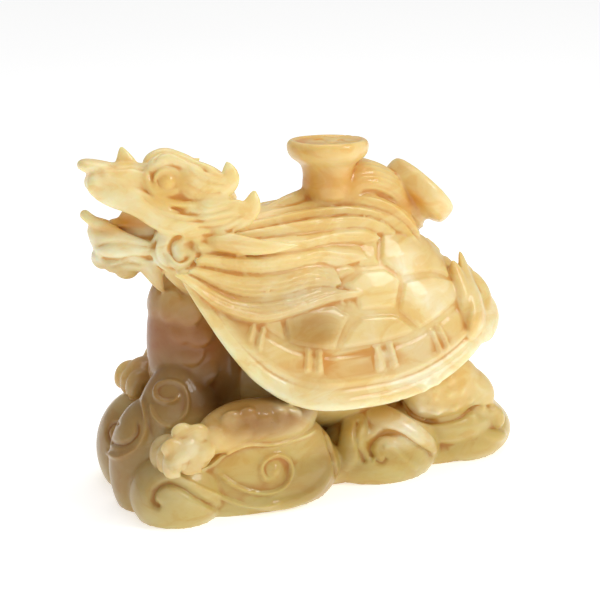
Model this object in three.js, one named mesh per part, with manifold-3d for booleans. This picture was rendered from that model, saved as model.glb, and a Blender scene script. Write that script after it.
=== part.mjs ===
// A dragon turtle carved from one block of yellow onyx: it stands on curling waves, its mane flows
// over a domed shell of six-sided scutes, and two round caps on short stems rise from its back.
// Millimetres. +Z is up, the head looks along -X, and the figure's left side faces -Y.
// The origin is on the ground, under the middle of the figure.

import * as THREE from "three";
import { mergeVertices } from "three/addons/utils/BufferGeometryUtils.js";
import Module from "manifold-3d";

const wasm = await Module();
wasm.setup();

// Driving dimensions, in millimetres
const figureLength = 174;
const waveHeight = 18;
const shellHalfLength = 66.5;
const shellHalfWidth = 37.5;
const shellRise = 90;
const shellLip = 5;
const scuteRelief = 1.3;
const scuteBevel = 2.6;
const barWidth = 2;
const capRadius = 15.6;
const capBand = 5.2;
const capStand = 24;
const lowCapRadius = 15.4;
const lowCapBand = 7.4;
const lowCapStand = 2.5;
const stemRadius = 7.6;
const neckRadius = 18;
const eyeRadius = 4;
const toeRadius = 3.6;
const curlWidth = 3;

// The carving is drawn in units, of which 174 make the figure's length. Heights are counted from the
// ground, and the feet stand at the level of 18 units, on top of the waves.
const unit = figureLength / 174;
const feetLevel = 18;

const upward = new THREE.Vector3(0, 0, 1);
const toLeft = new THREE.Vector3(0, -1, 0);
const backward = new THREE.Vector3(1, 0, 0);
const fullTurn = 2 * Math.PI;
const inRadians = THREE.MathUtils.degToRad;
const bothSides = [1, -1];

// A point of the figure, from units.
function at(x, y, z) {
  return new THREE.Vector3(x * unit, y * unit, waveHeight + (z - feetLevel) * unit);
}

// A point of the waves, whose heights follow the height of the waves.
function inWaves(x, y, z) {
  return new THREE.Vector3(x * unit, y * unit, (z / feetLevel) * waveHeight);
}

// A point over the shell, from units: its height is counted from the shell's top.
function overShell(x, y, rise) {
  return new THREE.Vector3(x * unit, y * unit, waveHeight + shellRise + rise * unit);
}

// The head has its own axes: forward, to its left, and up, counted from a point behind the eyes. It is
// turned a little to the right, and its left side is raised.
const headPlace = at(-45, 2, 105);
const headTurn = inRadians(15);
const headRoll = inRadians(9);
const headForward = new THREE.Vector3(-Math.cos(headTurn), Math.sin(headTurn), 0);
const headLeft = new THREE.Vector3(-Math.sin(headTurn), -Math.cos(headTurn), 0)
  .multiplyScalar(Math.cos(headRoll))
  .addScaledVector(upward, Math.sin(headRoll));
const headUp = new THREE.Vector3().crossVectors(headForward, headLeft);

function inHead(forward, left, up) {
  return headPlace
    .clone()
    .addScaledVector(headForward, forward * unit)
    .addScaledVector(headLeft, left * unit)
    .addScaledVector(headUp, up * unit);
}

// Solids

// A closed geometry as a solid whose faces point outwards.
function solid(geometry) {
  const bare = geometry.clone();
  for (const name of Object.keys(bare.attributes)) {
    if (name !== "position") bare.deleteAttribute(name);
  }
  const merged = mergeVertices(bare, 1e-3);
  const corners = new Uint32Array(merged.index.array);
  const make = () =>
    new wasm.Manifold(
      new wasm.Mesh({
        numProp: 3,
        vertProperties: merged.attributes.position.array,
        triVerts: corners,
      }),
    );
  const made = make();
  if (made.volume() > 0) return made;
  for (let i = 0; i < corners.length; i += 3) {
    [corners[i + 1], corners[i + 2]] = [corners[i + 2], corners[i + 1]];
  }
  return make();
}

// A closed skin: the grid of a ball, with each vertex moved to place(angle round, share along).
function skin(around, along, place) {
  const ball = new THREE.SphereGeometry(1, around, along);
  const spots = ball.attributes.position;
  const spot = new THREE.Vector3();
  for (let i = 0; i < spots.count; i += 1) {
    spot.fromBufferAttribute(spots, i);
    const share = Math.acos(THREE.MathUtils.clamp(spot.y, -1, 1)) / Math.PI;
    const angle = Math.atan2(spot.z, spot.x);
    const moved = place(Math.abs(spot.y) > 1 - 1e-6 ? 0 : angle, share);
    spots.setXYZ(i, moved.x, moved.y, moved.z);
  }
  return solid(ball);
}

// How the girth of a strand changes from its root, at share 0, to its tip, at share 1.
const swells = {
  round: (s) => Math.sqrt(Math.max(0, 1 - (2 * s - 1) ** 4)),
  lock: (s) => Math.min(1, 3 * s + 0.35) * Math.max(0, 1 - s * s) ** 0.7,
  horn: (s) => Math.min(1, 6 * s + 0.7) * (1 - s) ** 0.8,
};

// A strand: oval rings along a smooth curve through the given points. A ring is `wide` across and
// `thick` towards `out`, in units, and both are multiplied by the swell.
function strand(points, { wide, thick = wide, out = upward, swell = "round", around = 5, along = 5 }) {
  const curve = new THREE.CatmullRomCurve3(points);
  return skin(around, along, (angle, share) => {
    const spot = curve.getPoint(share);
    const tangent = curve.getTangent(share);
    const across = new THREE.Vector3().crossVectors(tangent, out);
    if (across.length() < 0.05) across.crossVectors(tangent, toLeft);
    across.normalize();
    const outward = new THREE.Vector3().crossVectors(across, tangent).normalize();
    const girth = swells[swell](share) * unit;
    return spot
      .addScaledVector(across, Math.cos(angle) * wide * girth)
      .addScaledVector(outward, Math.sin(angle) * thick * girth);
  });
}

// An egg-shaped mass with three half-sizes, in units, along the given axes.
const worldAxes = [backward, new THREE.Vector3(0, 1, 0), upward];
const headAxes = [headForward, headLeft, headUp];

function mass(centre, halfSizes, { axes = worldAxes, around = 7, along = 5 } = {}) {
  return skin(around, along, (angle, share) => {
    const ring = Math.sin(Math.PI * share);
    return centre
      .clone()
      .addScaledVector(axes[0], halfSizes[0] * unit * ring * Math.cos(angle))
      .addScaledVector(axes[1], halfSizes[1] * unit * ring * Math.sin(angle))
      .addScaledVector(axes[2], halfSizes[2] * unit * Math.cos(Math.PI * share));
  });
}

// A rounded scale that stands out of the surface along `out`.
function scale(centre, out, halfWidth, halfHeight, relief) {
  const across = new THREE.Vector3().crossVectors(upward, out).normalize();
  const rise = new THREE.Vector3().crossVectors(out, across);
  return mass(centre, [halfWidth, halfHeight, relief], { axes: [across, rise, out], around: 5, along: 3 });
}

// A sheet, given as lines of points, closed over a hidden point inside the body.
function closedOver(lines, heart) {
  const triangles = [];
  const lastRow = lines[0].length - 1;
  for (let c = 1; c < lines.length; c += 1) {
    for (let r = 1; r <= lastRow; r += 1) {
      const [a, b] = [lines[c - 1][r - 1], lines[c][r - 1]];
      const [d, e] = [lines[c][r], lines[c - 1][r]];
      triangles.push(a, b, d, a, d, e);
    }
  }
  const border = [
    ...lines.map((line) => line[0]),
    ...lines[lines.length - 1].slice(1),
    ...lines.slice(0, -1).reverse().map((line) => line[lastRow]),
    ...lines[0].slice(1, -1).reverse(),
  ];
  border.forEach((here, i) => triangles.push(border[(i + 1) % border.length], here, heart));
  return solid(new THREE.BufferGeometry().setFromPoints(triangles));
}

const pieces = [];

// Shell

const shellCentre = 8.4;
const shellSquareness = 2.7;
const columns = 14;
const columnStep = fullTurn / columns;
const scuteRows = [
  [0.3, 0.55, 0.8],
  [0.42, 0.68, 0.92],
];
const fieldEdge = 0.87;
const lipLevel = 3;

// The height of the shell's edge, in units: high over the neck, low at the flanks.
function edgeHeight(bearing) {
  const wave = -15.1 * Math.cos(bearing) + 19.4 * Math.cos(2 * bearing) - 4.8 * Math.cos(3 * bearing);
  return 57.9 + wave + lipLevel;
}

// A cosine or sine, squared off towards the corners of the shell's plan.
function squared(value) {
  return Math.sign(value) * Math.abs(value) ** (2 / shellSquareness);
}

// A point of the dome: share 0 is its top and share 1 its edge, and `lift` moves it outwards.
function onDome(bearing, share, lift = 0) {
  const edge = at(0, 0, edgeHeight(bearing)).z;
  const top = waveHeight + shellRise;
  const spot = new THREE.Vector3(
    shellCentre * unit + shellHalfLength * share * squared(Math.cos(bearing)),
    shellHalfWidth * share * squared(Math.sin(bearing)),
    edge + (top - edge) * (1 - share * share),
  );
  const out = new THREE.Vector3(
    share * Math.cos(bearing) * 1.1,
    share * Math.sin(bearing) * 1.5,
    1.05 - 0.6 * share,
  ).normalize();
  return spot.addScaledVector(out, lift);
}

// The scutes are laid out on a flat map of the dome, seen from above and stretched to a circle.
const mapReach = 80 * unit;

function onMap(bearing, share) {
  return new THREE.Vector2(Math.cos(bearing), Math.sin(bearing)).multiplyScalar(mapReach * share);
}

function fromMap(spot, lift) {
  return onDome(Math.atan2(spot.y, spot.x), Math.hypot(spot.x, spot.y) / mapReach, lift);
}

const scuteMiddles = [new THREE.Vector2(0, 0)];
for (let column = 0; column < columns; column += 1) {
  for (const share of scuteRows[column % 2]) scuteMiddles.push(onMap(column * columnStep, share));
}

// The field of scutes ends at a circle. Its corners are where the grooves between the outer scutes meet
// the circle, and the middles between them.
const fieldReach = mapReach * fieldEdge;
const outerEven = onMap(0, scuteRows[0][2]);
const outerOdd = onMap(columnStep, scuteRows[1][2]);
const grooveWay = outerOdd.clone().sub(outerEven);
const grooveReach = (outerOdd.lengthSq() - outerEven.lengthSq()) / 2 / grooveWay.length();
const grooveBearing = grooveWay.angle() - Math.acos(grooveReach / fieldReach);
const fieldBearings = [];
for (let column = 0; column < columns; column += 2) {
  const middle = column * columnStep;
  fieldBearings.push(middle - grooveBearing, middle, middle + grooveBearing, middle + columnStep);
}
const fieldCorners = fieldBearings.map((bearing) => onMap(bearing, fieldEdge));

// The part of a many-cornered plate that lies behind a line: `reach` from the origin, across `way`.
function clipped(corners, way, reach) {
  const near = 1e-6 * mapReach;
  const kept = [];
  corners.forEach((corner, i) => {
    const next = corners[(i + 1) % corners.length];
    const here = corner.dot(way) - reach;
    const there = next.dot(way) - reach;
    if (here <= near) kept.push(corner);
    if ((here < -near && there > near) || (here > near && there < -near)) {
      kept.push(corner.clone().lerp(next, here / (here - there)));
    }
  });
  return kept;
}

// One scute: the part of the field that is nearer to its middle than to any other.
function scuteCorners(middle) {
  let corners = [0, 1, 2, 3].map((i) => onMap((i + 0.5) * (fullTurn / 4), 0.6).add(middle));
  for (const other of scuteMiddles) {
    if (other === middle) continue;
    const way = other.clone().sub(middle).normalize();
    corners = clipped(corners, way, other.clone().add(middle).dot(way) / 2);
  }
  fieldCorners.forEach((corner, i) => {
    const next = fieldCorners[(i + 1) % fieldCorners.length];
    const way = new THREE.Vector2(next.y - corner.y, corner.x - next.x).normalize();
    corners = clipped(corners, way, corner.dot(way));
  });
  return corners;
}

// The shell is one closed skin of triangles: raised scutes with sloping sides that meet in grooves, a
// plain band, a rounded lip, and a hollow that runs in to the body.
const shellHeart = at(shellCentre, 0, 56);
const bandRings = [
  (bearing) => onDome(bearing, fieldEdge),
  (bearing) => lipSpot(bearing, 0),
  (bearing) => lipSpot(bearing, Math.PI / 2),
  (bearing) => lipSpot(bearing, Math.PI),
];

function lipSpot(bearing, bend) {
  const edge = onDome(bearing, 1);
  const outward = new THREE.Vector3(edge.x - shellHeart.x, edge.y - shellHeart.y, 0).normalize();
  return edge
    .addScaledVector(outward, (Math.sin(bend) * shellLip) / 3)
    .addScaledVector(upward, ((Math.cos(bend) - 1) * shellLip) / 2);
}

const shellTriangles = [];
for (const middle of scuteMiddles) {
  const corners = scuteCorners(middle);
  const heart = corners.reduce((sum, corner) => sum.add(corner), new THREE.Vector2());
  heart.divideScalar(corners.length);
  const crown = fromMap(heart, scuteRelief * 1.2);
  const low = corners.map((corner) => fromMap(corner, 0));
  const high = corners.map((corner) =>
    fromMap(corner.clone().lerp(heart, scuteBevel / corner.distanceTo(heart)), scuteRelief),
  );
  corners.forEach((_, i) => {
    const j = (i + 1) % corners.length;
    shellTriangles.push(crown, high[i], high[j], high[i], low[i], low[j], high[i], low[j], high[j]);
  });
}
fieldBearings.forEach((bearing, i) => {
  const nextBearing = fieldBearings[(i + 1) % fieldBearings.length];
  for (let ring = 1; ring < bandRings.length; ring += 1) {
    const [inner, outer] = [bandRings[ring - 1], bandRings[ring]];
    shellTriangles.push(inner(bearing), outer(bearing), outer(nextBearing));
    shellTriangles.push(inner(bearing), outer(nextBearing), inner(nextBearing));
  }
  const last = bandRings[bandRings.length - 1];
  shellTriangles.push(last(bearing), shellHeart, last(nextBearing));
});
pieces.push(solid(new THREE.BufferGeometry().setFromPoints(shellTriangles)));

// Pairs of upright bars stand on the band between the scutes and the lip.
const pairsOfBars = 4;
const firstPair = inRadians(62);
const pairStep = inRadians(21.7);
const twinSpacing = inRadians(2.1);
const barTop = 0.885;
const barFoot = 0.95;
const barRelief = 0.9;

function bar(bearing) {
  const block = new THREE.BoxGeometry(1, 1, 1);
  const spots = block.attributes.position;
  const across = onDome(bearing + 0.01, barTop).sub(onDome(bearing, barTop)).normalize();
  for (let i = 0; i < spots.count; i += 1) {
    const share = barTop + (spots.getY(i) + 0.5) * (barFoot - barTop);
    const spot = onDome(bearing, share, spots.getZ(i) * 2 * barRelief);
    spot.addScaledVector(across, spots.getX(i) * barWidth);
    spots.setXYZ(i, spot.x, spot.y, spot.z);
  }
  return solid(block);
}

for (let pair = 0; pair < pairsOfBars; pair += 1) {
  for (const side of bothSides) {
    for (const twin of bothSides) {
      pieces.push(bar(side * (firstPair + pair * pairStep + twin * twinSpacing)));
    }
  }
}

// Body and neck

pieces.push(mass(at(10, 0, 42), [48, 25, 24], { along: 4 }));
const chest = [at(-34, 0, 20), at(-44, 0, 46), at(-45, 0, 68), at(-38, 0, 92)];
pieces.push(strand(chest, { wide: 18, thick: 16, out: toLeft, around: 7, along: 4 }));
const neck = [at(8, 0, 84), at(-14, 0, 86), at(-32, 1, 88), at(-52, 3, 99)];
pieces.push(strand(neck, { wide: neckRadius / unit, around: 6, along: 4 }));

// Rounded scales cover the chest in staggered rows.
const chestScaleRows = 3;
const chestScaleColumns = 3;
const chestScaleStep = inRadians(36);
const chestRowDrop = 11;
const chestReach = 14.8;
for (let row = 0; row < chestScaleRows; row += 1) {
  for (let i = 0; i < chestScaleColumns; i += 1) {
    const bearing = (i - 0.5 + (row % 2) / 2) * chestScaleStep;
    const out = new THREE.Vector3(-Math.cos(bearing), -Math.sin(bearing), 0);
    const spot = at(-45, 0, 72 - row * chestRowDrop).addScaledVector(out, chestReach * unit);
    pieces.push(scale(spot, out, 5.4, 6, 2.6));
  }
}

// Caps: a disc with a banded edge and a shallow sunken top, and a cone that runs down to the stem.
const capSides = 13;
const stemLength = 24;

function cap(top, radius, band, leanBack, leanSide) {
  const profile = [
    [0, 0.9],
    [radius * 0.8, 0.9],
    [radius * 0.88, 0],
    [radius, 0.6],
    [radius, band],
    [stemRadius * 1.2, band + 6],
    [stemRadius, band + 10],
    [stemRadius * 1.15, band + 16],
    [0, band + stemLength],
  ];
  const outline = profile.map(([reach, drop]) => new THREE.Vector2(reach, -drop)).reverse();
  const turned = new THREE.LatheGeometry(outline, capSides);
  turned.rotateX(Math.PI / 2 + leanSide);
  turned.rotateY(leanBack);
  turned.translate(top.x, top.y, top.z);
  return solid(turned);
}

pieces.push(cap(overShell(10.6, 0, capStand), capRadius, capBand, inRadians(2), inRadians(-6)));
pieces.push(cap(overShell(52, 0, lowCapStand), lowCapRadius, lowCapBand, inRadians(46), 0));

// A hump of mane runs from the root of one cap to the root of the other.
const humpLine = [[12, 4], [22, 9], [32, 6.4], [44, -6], [52, -14]];
const hump = humpLine.map(([x, rise]) => overShell(x, 0, rise));
pieces.push(strand(hump, { wide: 11, thick: 7.5, around: 5, along: 5 }));

// Mane: one skin that lies on the dome. Its crests are locks that flow back from the head and end in
// points over the scutes, with valleys between them. The ridge runs along the middle of the back and
// carries the caps. Each is drawn as [bearing in degrees, share, lift in units] on the dome.
const maneRidge = [[180, 0.8, 1], [180, 0.4, 1], [180, 0.16, 3], [0, 0.12, 6], [0, 0.38, 11], [0, 0.62, 4]];
const maneLocks = [
  [[174, 0.66, 1], [164, 0.34, 2], [112, 0.2, 4], [55, 0.28, 8], [38, 0.44, 7], [31, 0.58, 2]],
  [[168, 0.72, 3], [144, 0.4, 5], [90, 0.27, 6], [54, 0.37, 5], [40, 0.5, 3], [37, 0.6, 2]],
  [[164, 0.78, 4], [140, 0.47, 5.4], [98, 0.34, 5.4], [64, 0.39, 4], [52, 0.48, 2]],
  [[164, 0.84, 4], [144, 0.6, 5.4], [112, 0.46, 5], [86, 0.42, 4], [66, 0.47, 2]],
  [[160, 0.9, 4], [141, 0.7, 5], [120, 0.57, 5], [98, 0.5, 4], [82, 0.54, 2]],
  [[158, 0.96, 4], [140, 0.8, 5], [121, 0.67, 5], [104, 0.6, 4], [92, 0.63, 2]],
  [[160, 1.02, 5], [143, 0.93, 4.6], [126, 0.83, 4.2], [110, 0.73, 4], [97, 0.68, 3], [88, 0.67, 1.6]],
];
const maneRows = 7;
const valleyLift = 2;
const valleyReach = 0.86;
const hemWidth = 0.045;
const hemLift = -4;
const rightLift = 0.72;

function lockCurve(rows, side) {
  const points = rows.map(([bearing, share, lift]) => {
    const spot = onMap(-side * inRadians(bearing), share);
    return new THREE.Vector3(spot.x, spot.y, lift * unit);
  });
  return new THREE.CatmullRomCurve3(points);
}

// The curves of one side, from the ridge outwards: a valley, a crest and so on, and last the hem. The
// crests of the right side are flatter.
function maneSide(side) {
  const lines = [];
  const flatness = side > 0 ? 1 : rightLift;
  let inner = lockCurve(maneRidge, side);
  for (const rows of maneLocks) {
    const crest = lockCurve(rows.map(([bearing, share, lift]) => [bearing, share, lift * flatness]), side);
    const before = inner;
    lines.push((share) => {
      const spot = before.getPoint(share * valleyReach).lerp(crest.getPoint(share * valleyReach), 0.5);
      return spot.setZ(Math.min(spot.z, valleyLift * unit));
    });
    lines.push((share) => crest.getPoint(share));
    inner = crest;
  }
  const lowest = maneLocks[maneLocks.length - 1];
  const hem = lockCurve(lowest.map(([bearing, share]) => [bearing, share + hemWidth, hemLift]), side);
  lines.push((share) => hem.getPoint(share));
  return lines;
}

const ridge = lockCurve(maneRidge, 1);
const maneLines = [...maneSide(1).reverse(), (share) => ridge.getPoint(share), ...maneSide(-1)];
const maneColumns = maneLines.map((line) => {
  const column = [];
  for (let row = 0; row <= maneRows; row += 1) {
    const spot = line(row / maneRows);
    column.push(fromMap(spot, spot.z));
  }
  return column;
});
pieces.push(closedOver(maneColumns, at(0, 0, 62)));

// Head

const sideways = { 1: headLeft, [-1]: headLeft.clone().negate() };

function headMass(forward, left, up, halfSizes, detail) {
  pieces.push(mass(inHead(forward, left, up), halfSizes, { axes: headAxes, ...detail }));
}

// A strand of the head, from rows of [forward, left, up], on both sides or on the middle line.
function headStrand(rows, options) {
  pieces.push(strand(rows.map((row) => inHead(...row)), { out: headUp, ...options }));
}

// The tip of the right one of a pair may hang lower, by `droop`.
function pairedStrand(rows, options, droop = 0) {
  for (const side of bothSides) {
    const mirrored = rows.map(([forward, left, up], i) => {
      const drop = side < 0 ? (droop * i) / (rows.length - 1) : 0;
      return [forward, side * left, up - drop];
    });
    headStrand(mirrored, { out: sideways[side], ...options });
  }
}

// A form of rounded square rings along the head, from rows of [forward, up, half width, half height].
const headSquareness = 2.6;
const headSides = 8;

function headLoft(rows) {
  const last = rows.length - 1;
  const bend = (value) => Math.sign(value) * Math.abs(value) ** (2 / headSquareness);
  pieces.push(
    skin(headSides, last, (angle, share) => {
      const [forward, up, wide, high] = rows[Math.round(share * last)];
      return inHead(forward, wide * bend(Math.cos(angle)), up + high * bend(Math.sin(angle)));
    }),
  );
}

const upperHead = [
  [39, 18, 0, 0],
  [36.5, 17, 6, 5],
  [28, 16.4, 9, 7.6],
  [17, 15.4, 9.4, 8],
  [9, 11, 10.4, 12.6],
  [-3, 10, 10.8, 13.4],
  [-12, 9, 8.6, 10],
  [-18, 9, 0, 0],
];
headLoft(upperHead);
headMass(4, 0, -5, [10, 11, 11.5]);

// The snout ends in a pointed leaf, with a horn on it and a wing on each nostril.
headStrand([[24, 0, 20], [33, 0, 22.4], [41, 0, 23.6]], { wide: 6, thick: 2.8, along: 4 });
const horn = { wide: 3.5, thick: 8, out: headForward, swell: "horn", along: 4 };
headStrand([[23.5, 0, 16], [23.5, 0, 23], [25.2, 0, 30.4]], horn);
for (const side of bothSides) headMass(34.2, side * 5.4, 17.4, [4.6, 3.4, 5], { around: 5, along: 4 });

// Brows and eyes
const brow = [[16.5, 6.5, 20.5], [13.5, 8, 24], [9, 8.6, 26], [2, 9, 23.6], [-5, 9.5, 20.6]];
pairedStrand(brow, { wide: 2.7, around: 4 });
for (const side of bothSides) {
  const ball = eyeRadius / unit;
  headMass(9.4, side * 8.8, 17.2, [ball, ball, ball], { around: 6, along: 4 });
}
const lid = { wide: 1.6, around: 4, along: 4 };
pairedStrand([[16.4, 8.6, 18.5], [13, 10.2, 11.8], [5, 11.4, 9], [-4, 12, 8.4]], lid);

// Leaf-shaped horns behind the eyes, and the lobes below them
const leaf = { wide: 7.4, thick: 3.4, swell: "lock", around: 4 };
const leafLine = [[8, 9, 18], [-1, 10.4, 16.8], [-9, 11.4, 15], [-13.2, 11.6, 17.6], [-12.8, 11.6, 24]];
pairedStrand(leafLine, leaf, 6);
const lobeLine = [[4, 10, 6], [-6, 12, 4.4], [-15, 13, 4], [-20.6, 13, 6.4], [-22.6, 12.2, 13]];
pairedStrand(lobeLine, leaf, 8);

// The band of the cheek runs back from the snout and winds round the ball of its curl.
const cheekBand = [
  [33, 6, 13],
  [27, 8, 11],
  [21.5, 9.4, 8.6],
  [16, 10.4, 5],
  [9.5, 11.8, 1],
  [3, 12.6, -1.4],
  [-0.8, 13, -5.4],
  [-0.8, 13, -10],
  [2.6, 12.6, -13.4],
  [7.4, 12, -14.2],
  [12, 11.6, -12.2],
  [14, 11, -8],
];
pairedStrand(cheekBand, { wide: 3.2, thick: 3, around: 4, along: 9 });
for (const side of bothSides) headMass(6, side * 11.4, -8.4, [3.6, 2.8, 3.6], { around: 5, along: 4 });

// Lower jaw, its rim with an upturned tip, and the bands and lumps of the chin
const lowerJaw = [
  [39, -1, 0, 0],
  [37, -2.4, 4.6, 4.6],
  [31, -7.4, 7, 7],
  [24, -10, 8, 7],
  [14, -9.6, 9, 6],
  [4, -9, 0, 0],
];
headLoft(lowerJaw);
const leftRim = [[13, 8.2, -8], [19, 8, -6.4], [25.5, 7, -3.6], [31, 5.2, 0], [36, 2.8, 2.2]];
const rightRim = leftRim.map(([forward, left, up]) => [forward, -left, up]).reverse();
headStrand([...leftRim, [39.2, 0, 5], ...rightRim], { wide: 2, around: 4, along: 6 });
const jawBand = { wide: 2.7, around: 4, along: 3 };
pairedStrand([[36.6, 3, -6], [31, 6.6, -7.4], [25, 8.2, -8], [16, 9.5, -8.6]], jawBand);
headMass(32.5, 0, -11, [5.2, 5.2, 4.6], { around: 5, along: 4 });
for (const side of bothSides) headMass(25, side * 4, -15.4, [5, 4.4, 4], { around: 5, along: 4 });

// The closed back of the mouth, and the tongue
headMass(14.5, 0, 1, [13, 5.6, 9], { around: 5, along: 3 });
headStrand([[10, 0, -2.5], [22, 0, 0.4], [31, 0, 2]], { wide: 4.6, thick: 2, around: 4, along: 4 });

// Beard locks hang from the jaw and sweep back to the mane.
const beardLock = { wide: 4.4, thick: 3.4, swell: "lock", around: 4 };
pairedStrand([[20, 6, -9], [16, 7.5, -16], [12, 7, -24.5]], beardLock);
pairedStrand([[12, 8, -10], [6, 10, -18], [-2, 11, -25], [-8, 12, -31]], beardLock);
pairedStrand([[2, 10, -12], [-6, 13, -16], [-16, 16, -19], [-26, 20, -24]], beardLock);
pairedStrand([[-2, 11, -4], [-12, 15, -6], [-24, 17, -8], [-38, 16, -8]], beardLock);

// Legs. The right front paw rests on a higher wave than the left one.

function leg(points, wide, thick) {
  pieces.push(strand(points, { wide, thick, out: toLeft, around: 6, along: 4 }));
}

function paw(centre, halfSizes) {
  pieces.push(mass(centre, halfSizes, { around: 6, along: 4 }));
}

// Toes fan out from a paw and bend down to the wave.
const toesOnFoot = 3;

function toes(root, reach, spread, drop) {
  for (let i = 0; i < toesOnFoot; i += 1) {
    const across = (i - (toesOnFoot - 1) / 2) * spread;
    const points = [
      at(root.x, root.y + across, root.z + 2),
      at(root.x + reach * 0.8, root.y + across * 1.1, root.z + 1),
      at(root.x + reach, root.y + across * 1.15, root.z - drop),
    ];
    pieces.push(strand(points, { wide: toeRadius / unit, around: 4, along: 4 }));
  }
}

leg([at(-6, -24, 34), at(-24, -30, 35), at(-42, -32, 36), at(-58, -34, 32)], 9, 7.5);
paw(at(-61, -33, 30), [10, 8.5, 9.5]);
toes({ x: -63, y: -32.5, z: 29 }, -8, 5.6, 7);
leg([at(-6, 24, 36), at(-24, 29, 42), at(-42, 28, 45), at(-56, 22, 42)], 9, 7.5);
paw(at(-57, 21, 40), [8.5, 8.5, 8]);
toes({ x: -57, y: 21, z: 40 }, -7.5, 5.4, 6);

for (const side of bothSides) {
  leg([at(34, -side * 18, 34), at(50, -side * 19, 33), at(66, -side * 15, 27)], 13, 10);
  paw(at(68, -side * 15.5, 17), [10.5, 9, 9.5]);
  toes({ x: 69, y: -side * 15, z: 17 }, 6.5, 5.4, 5);
}

// Rounded scales lie on the legs in two staggered rows.
const scaleRows = 2;
const scaleColumns = 2;

function legScales(side, start, step, drop) {
  const out = toLeft.clone().multiplyScalar(side);
  for (let row = 0; row < scaleRows; row += 1) {
    for (let i = 0; i < scaleColumns; i += 1) {
      const steps = i + row / 2;
      const z = start.z + steps * step.z - row * drop;
      pieces.push(scale(at(start.x + steps * step.x, start.y + steps * step.y, z), out, 5, 4.4, 2.6));
    }
  }
}
legScales(1, { x: -47, y: -37, z: 39 }, { x: 10.4, y: 1.2, z: 0 }, 7.4);
legScales(-1, { x: -46, y: 33, z: 48 }, { x: 10.4, y: 0.4, z: -1.4 }, 7.4);
for (const side of bothSides) {
  legScales(side, { x: 46, y: -side * 27, z: 35 }, { x: 9, y: side * 2, z: -2 }, 7);
}

// Tail: flames that fan out from one root, rise behind the shell and curve over it.
const tailRoot = [58, 0, 42];
const tailFlames = [
  [[70, -3, 46], [77, -5, 57], [73, -4, 69], [67, -2, 80]],
  [[64, -10, 46], [70, -13, 57], [68, -12, 67], [63, -8, 75]],
  [[71, 6, 46], [78, 5, 56], [75, 4, 66], [71, 3, 73]],
  [[64, 14, 44], [70, 16, 54], [69, 14, 62], [66, 11, 69]],
];
for (const rows of tailFlames) {
  const points = [tailRoot, ...rows].map((row) => at(...row));
  pieces.push(strand(points, { wide: 7, thick: 4.4, out: backward, swell: "lock", around: 4, along: 4 }));
}
const tailBase = [at(48, 0, 40), at(...tailRoot), at(75, 0, 50)];
pieces.push(strand(tailBase, { wide: 15, thick: 8, around: 4, along: 3 }));

// Waves: overlapping lobes, rounded above and drawn in towards the ground. A curl winds on a lobe round
// `bearing` and `rise`, both in degrees, seen from the lobe's middle: the bearing is 0 at the left side
// and grows towards the back, and the rise is 0 where the lobe is widest.
const waves = {
  core: { x: 2, y: 0, length: 68, width: 25, height: 19 },
  frontLeft: { x: -62, y: -22, length: 18, width: 17, height: 28 },
  leaf: { x: -23, y: -18, length: 29, width: 20.5, height: 28 },
  crest: { x: 27, y: -13, length: 25, width: 20, height: 27 },
  rear: { x: 66, y: 1, length: 24, width: 27, height: 21 },
  front: { x: -65, y: -6, length: 17, width: 16, height: 42 },
  frontRight: { x: -59, y: 18, length: 19, width: 19, height: 36 },
  right: { x: -18, y: 18, length: 32, width: 20, height: 26 },
  backRight: { x: 30, y: 18, length: 30, width: 20, height: 24 },
  mound: { x: -55, y: -9, length: 19, width: 16, height: 56 },
  apron: { x: -30, y: -24, length: 32, width: 13, height: 37 },
};
const waistShare = 0.36;
const waveRises = [90, 50, 12, -35, -90];
const waveSides = 8;

function onWave({ x, y, length, width, height }, bearing, rise) {
  const waist = height * waistShare;
  const ring = Math.cos(rise);
  return inWaves(
    x + length * ring * Math.sin(bearing),
    y - width * ring * Math.cos(bearing),
    waist + (height - waist) * Math.sin(rise),
  );
}

for (const wave of Object.values(waves)) {
  const last = waveRises.length - 1;
  const rises = waveRises.map(inRadians);
  pieces.push(skin(waveSides, last, (angle, share) => onWave(wave, angle, rises[Math.round(share * last)])));
}

// A curl is a hook of three quarters of a turn, which tapers as it winds in to its round eye.
const curls = [
  { wave: "frontLeft", bearing: -22, rise: 16, reach: 30, hand: 1 },
  { wave: "leaf", bearing: 0, rise: 14, reach: 26, hand: -1 },
  { wave: "crest", bearing: -14, rise: 18, reach: 28, hand: 1 },
  { wave: "front", bearing: -62, rise: 30, reach: 30, hand: 1 },
  { wave: "right", bearing: 178, rise: 16, reach: 28, hand: 1 },
  { wave: "backRight", bearing: 176, rise: 16, reach: 28, hand: -1 },
];
const curlPoints = 5;
const curlTurns = 0.75;
const curlTightening = 0.45;
const curlStart = 0.05;

for (const { wave, bearing, rise, reach, hand } of curls) {
  const points = [];
  for (let i = 0; i < curlPoints; i += 1) {
    const share = i / (curlPoints - 1);
    const turned = (share * curlTurns + curlStart) * fullTurn;
    const spread = reach * (1 - curlTightening * share);
    const aside = bearing + hand * spread * Math.cos(turned);
    points.push(onWave(waves[wave], inRadians(aside), inRadians(rise + spread * Math.sin(turned))));
  }
  const eye = onWave(waves[wave], inRadians(bearing), inRadians(rise));
  const out = eye.clone().sub(inWaves(waves[wave].x, waves[wave].y, 0)).normalize();
  pieces.push(strand(points, { wide: curlWidth / unit, out, around: 4, along: 5 }));
  pieces.push(scale(eye, out, curlWidth / unit, curlWidth / unit, curlWidth / unit));
}

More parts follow.
